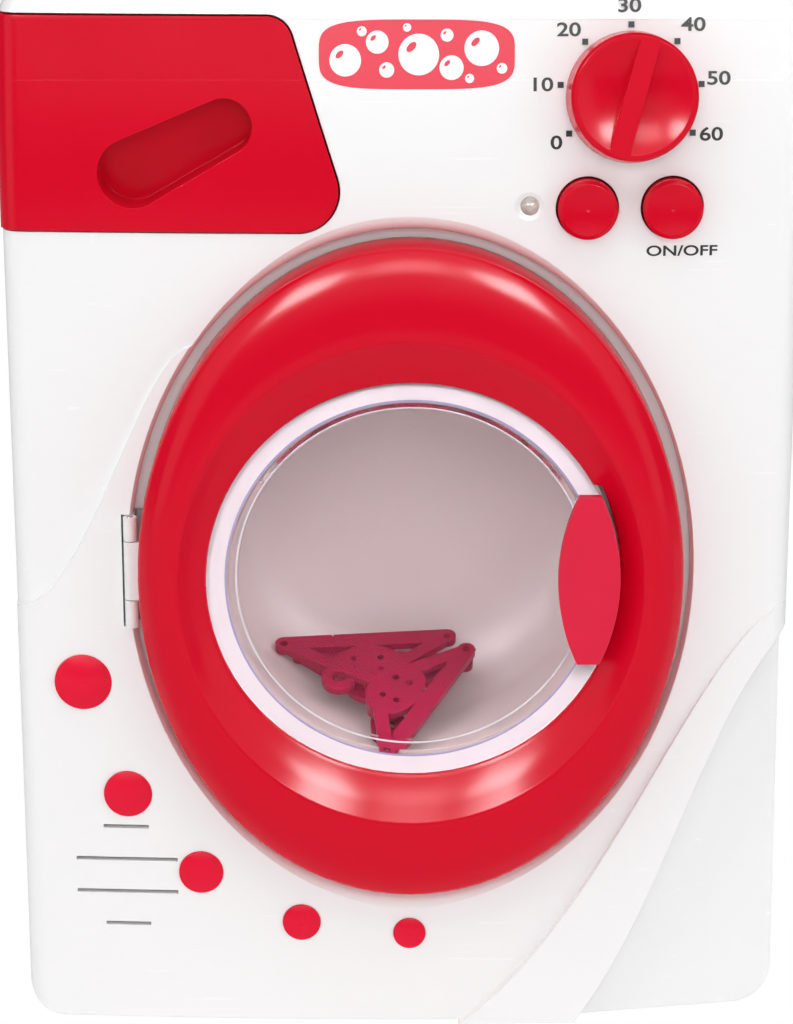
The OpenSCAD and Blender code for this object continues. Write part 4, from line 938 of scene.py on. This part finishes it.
@dataclass
class BubbleSticker:
    """A plain sticker with soap bubbles at the top of the panel.

    Args:
        face: The face that it is stuck to.
        middle: Its middle.
        half_wide: Half its width.
        half_tall: Half its height.
        power: How square its corners are.
        points: Number of points round its edge.
        ground: Layer of the sticker itself.
        skin: Layer of the bubbles.
        shine: Layer of the spots on the bubbles.
        spot: Place, half width and half height of a spot, as shares of the bubble's radius.
        bubbles: Place from the sticker's middle and radius of each bubble, in millimetres.
    """

    face: Face
    middle: Place = (4.0 * MM, 285.0 * MM)
    half_wide: float = 26.0 * MM
    half_tall: float = 9.0 * MM
    power: float = 4.0
    points: int = 96
    ground: Layer = Layer(0.02 * MM, 0.05 * MM, STICKER_RED)
    skin: Layer = Layer(0.06 * MM, 0.03 * MM, STICKER_WHITE)
    shine: Layer = Layer(0.08 * MM, 0.025 * MM, STICKER_RED)
    spot: tuple[float, float, float] = (0.36, 0.3, 0.17)
    bubbles: tuple[tuple[float, float, float], ...] = (
        (-19.0, -1.5, 4.2), (-10.5, 3.2, 3.0), (-8.0, -4.0, 2.0), (0.5, 0.0, 5.4), (8.0, 5.0, 1.7),
        (9.2, -3.4, 3.2), (17.2, 1.6, 4.6), (-14.6, 6.0, 1.3), (14.0, -6.2, 1.2), (22.6, -3.6, 1.4),
        (-2.6, 7.0, 1.1),
    )

    def build(self) -> bpy.types.Object:
        """Makes the sticker as one piece with two finishes."""
        edge = oval(self.half_wide, self.half_tall, self.power, self.points)
        parts = [self.ground.cut(self.face, edge, self.middle)]
        away, half_wide, half_tall = self.spot
        for x, z, size in self.bubbles:
            r = size * MM
            place = (self.middle[0] + x * MM, self.middle[1] + z * MM)
            parts.append(self.skin.cut(self.face, oval(r, r), place))
            glint = oval(half_wide * r, half_tall * r, turn=math.pi / 4)
            parts.append(self.shine.cut(self.face, glint, (place[0] - away * r, place[1] + away * r)))
        return joined("bubble_sticker", parts)


@dataclass
class WindowLines:
    """Painted reflections: fine lines of light painted along the window's step and the edge of its pane.

    Args:
        rim: Front plane of the window's rim.
        middle: Middle of the window.
        step: Radius of the step.
        pane: Radius of the pane's edge.
        fall: How far the pane's edge lies behind the rim.
        wide: Width of a line.
        haze: Width of the ring of painted light.
        thick: Thickness of all three.
        count: Number of steps round the window.
    """

    rim: float
    middle: Place = (2.9 * MM, 141.3 * MM)
    step: float = 51.15 * MM
    pane: float = 48.45 * MM
    fall: float = 3.1 * MM
    wide: float = 0.55 * MM
    haze: float = 4.9 * MM
    thick: float = 0.05 * MM
    count: int = 180

    def build(self) -> list[bpy.types.Object]:
        """Makes the two painted reflection lines and the ring of painted light outside them."""
        return [self.line("window_step_painted_reflection", self.step, self.wide, self.rim, STEP_PAINTED_REFLECTION),
                self.line("window_pane_painted_reflection", self.pane, self.wide, self.rim + self.fall, PANE_PAINTED_REFLECTION),
                self.line("window_rim_painted_light", self.step + self.wide, self.haze, self.rim, RIM_PAINTED_LIGHT)]

    def line(self, name: str, radius: float, wide: float, y: float, finish: Look) -> bpy.types.Object:
        """Turns a small rectangle round the window's axis.

        Args:
            name: Name of the piece.
            radius: Inner radius of the line.
            wide: Its width.
            y: Plane of its back.
            finish: Its finish.

        Returns:
            The line as a closed ring.
        """
        bm = bmesh.new()
        section = ((radius, y), (radius + wide, y), (radius + wide, y - self.thick), (radius, y - self.thick))
        loops = []
        for i in range(self.count):
            angle = 2 * math.pi * i / self.count
            loops.append([bm.verts.new((self.middle[0] + r * math.cos(angle), depth,
                                        self.middle[1] + r * math.sin(angle))) for r, depth in section])
        for here, there in zip(loops, loops[1:] + loops[:1]):
            for j, k in ((0, 1), (1, 2), (2, 3), (3, 0)):
                bm.faces.new((here[j], here[k], there[k], there[j]))
        bmesh.ops.recalc_face_normals(bm, faces=bm.faces)
        return dress(mesh_object(name, bm), finish)


@dataclass(frozen=True)
class Softbox:
    """A rectangular soft light that points at the middle of the object.

    Args:
        name: Name of the light.
        place: Its middle.
        size: Its width and height.
        watts: Its power.
        mirrored: Whether it shows in reflections.
        lights: Whether it lights matt surfaces.
    """

    name: str
    place: Point
    size: Place
    watts: float
    mirrored: bool = True
    lights: bool = True

    def build(self, target: Vector) -> None:
        """Adds the light to the scene.

        Args:
            target: The point that it faces.
        """
        data = bpy.data.lights.new(self.name, "AREA")
        data.shape = "RECTANGLE"
        data.size, data.size_y = self.size
        data.energy = self.watts
        made = new_object(self.name, data)
        made.location = self.place
        made.rotation_euler = (target - Vector(self.place)).to_track_quat("-Z", "Y").to_euler()
        made.visible_glossy = self.mirrored
        if not self.lights:
            made.visible_diffuse = False
            made.visible_transmission = False


@dataclass
class Studio:
    """Camera, floor and soft light, as the photograph has them.

    Args:
        focal: Focal length in pixels of the frame.
        tall: Height of the frame in pixels.
        sensor: Width of the sensor in millimetres.
        near: Distance from which the camera sees.
        eye: Place of the camera.
        pitch: How far it looks down.
        target: Middle of the object, which the lights face.
        reach: Half the side of the floor.
        haze: Strength of the even light from all sides.
        softboxes: The lights. The strips show in reflections alone, such as at the foot of the door's funnel.
    """

    focal: float = 3100.0
    tall: float = 1024.0
    sensor: float = 36.0
    near: float = 0.01
    eye: Point = (-1.4 * MM, -889.4 * MM, 409.3 * MM)
    pitch: float = math.radians(17)
    target: Point = (0.0, 0.0, 0.15)
    reach: float = 6.0
    haze: float = 0.16
    softboxes: tuple[Softbox, ...] = (
        Softbox("top softbox", (0.0, -0.45, 1.3), (1.5, 0.9), 8.6),
        Softbox("front softbox", (0.0, -1.7, 0.8), (1.2, 0.6), 8.2, mirrored=False),
        Softbox("strip left", (-0.85, -1.45, 1.3), (0.6, 0.4), 46.0, lights=False),
        Softbox("strip middle", (0.0, -1.45, 1.3), (0.6, 0.4), 12.0, lights=False),
        Softbox("strip right", (0.85, -1.45, 1.3), (0.6, 0.4), 50.0, lights=False),
        Softbox("left softbox", (-1.25, -0.75, 0.55), (0.9, 1.2), 5.0),
        Softbox("right softbox", (1.25, -0.75, 0.55), (0.9, 1.2), 5.0),
        Softbox("back softbox", (0.0, 1.3, 0.9), (1.4, 0.8), 7.0),
    )

    def build(self) -> None:
        """Sets up the camera, the floor, the lights and the world."""
        self.camera()
        self.ground()
        for softbox in self.softboxes:
            softbox.build(Vector(self.target))
        self.world()

    def camera(self) -> None:
        """Sets the camera where the photograph was taken from."""
        data = bpy.data.cameras.new("camera")
        data.sensor_width = self.sensor
        data.lens = self.focal / self.tall * self.sensor
        data.clip_start = self.near
        made = new_object("camera", data)
        made.location = self.eye
        made.rotation_euler = (math.pi / 2 - self.pitch, 0.0, 0.0)
        bpy.context.scene.camera = made
        bpy.context.scene.view_settings.view_transform = "Standard"

    def ground(self) -> None:
        """Makes the pale floor, which reads as plain white, as the overexposed backdrop does."""
        bm = bmesh.new()
        bmesh.ops.create_grid(bm, x_segments=8, y_segments=8, size=self.reach)
        made = dress(mesh_object("floor", bm), FLOOR)
        tree = made.data.materials[0].node_tree
        g = Graph(tree)
        glow = g.add("ShaderNodeEmission")
        glow.inputs["Strength"].default_value = 1.0
        swap_shader(g, "Is Camera Ray", tree.nodes["Principled BSDF"].outputs["BSDF"], glow.outputs["Emission"])

    def world(self) -> None:
        """Gives the surroundings an even pale grey."""
        world = bpy.data.worlds.new("surroundings")
        world.use_nodes = True
        back = world.node_tree.nodes["Background"]
        back.inputs["Color"].default_value = (1.0, 1.0, 1.0, 1.0)
        back.inputs["Strength"].default_value = self.haze
        bpy.context.scene.world = world


def attach(piece: bpy.types.Object, body: str) -> None:
    """Makes a new piece ride on a body.

    Args:
        piece: The piece.
        body: The CAD body that it moves with.
    """
    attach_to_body(piece, body)
    log.info("piece: %s on %s", piece.name, body)


def main(frame: dict) -> None:
    """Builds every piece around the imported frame.
    """
    logging.basicConfig(level=logging.INFO, format="%(name)s: %(message)s")
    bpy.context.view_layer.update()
    record = frame["record"]
    slots = {part["node"]: part["material_slot"] for part in record["subparts"]}
    bodies = {node: body for body, members in record["behaviour"]["bodies"].items() for node in members}
    for node, made in frame["nodes"].items():
        dress(made, FINISHES[slots[node]])
    skins = Skins().build(frame, bodies, slots)
    log.info("skins: %d", len(skins))
    face = Face()
    for maker in (TimerPrint(face), SwitchPrint(face), BubbleSticker(face)):
        attach(maker.build(), "case")
    window_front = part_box("door_window")[0][1]
    for piece in WindowLines(window_front).build():
        attach(piece, "door")
    Studio().build()


if __name__ == "__main__":
    main(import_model())
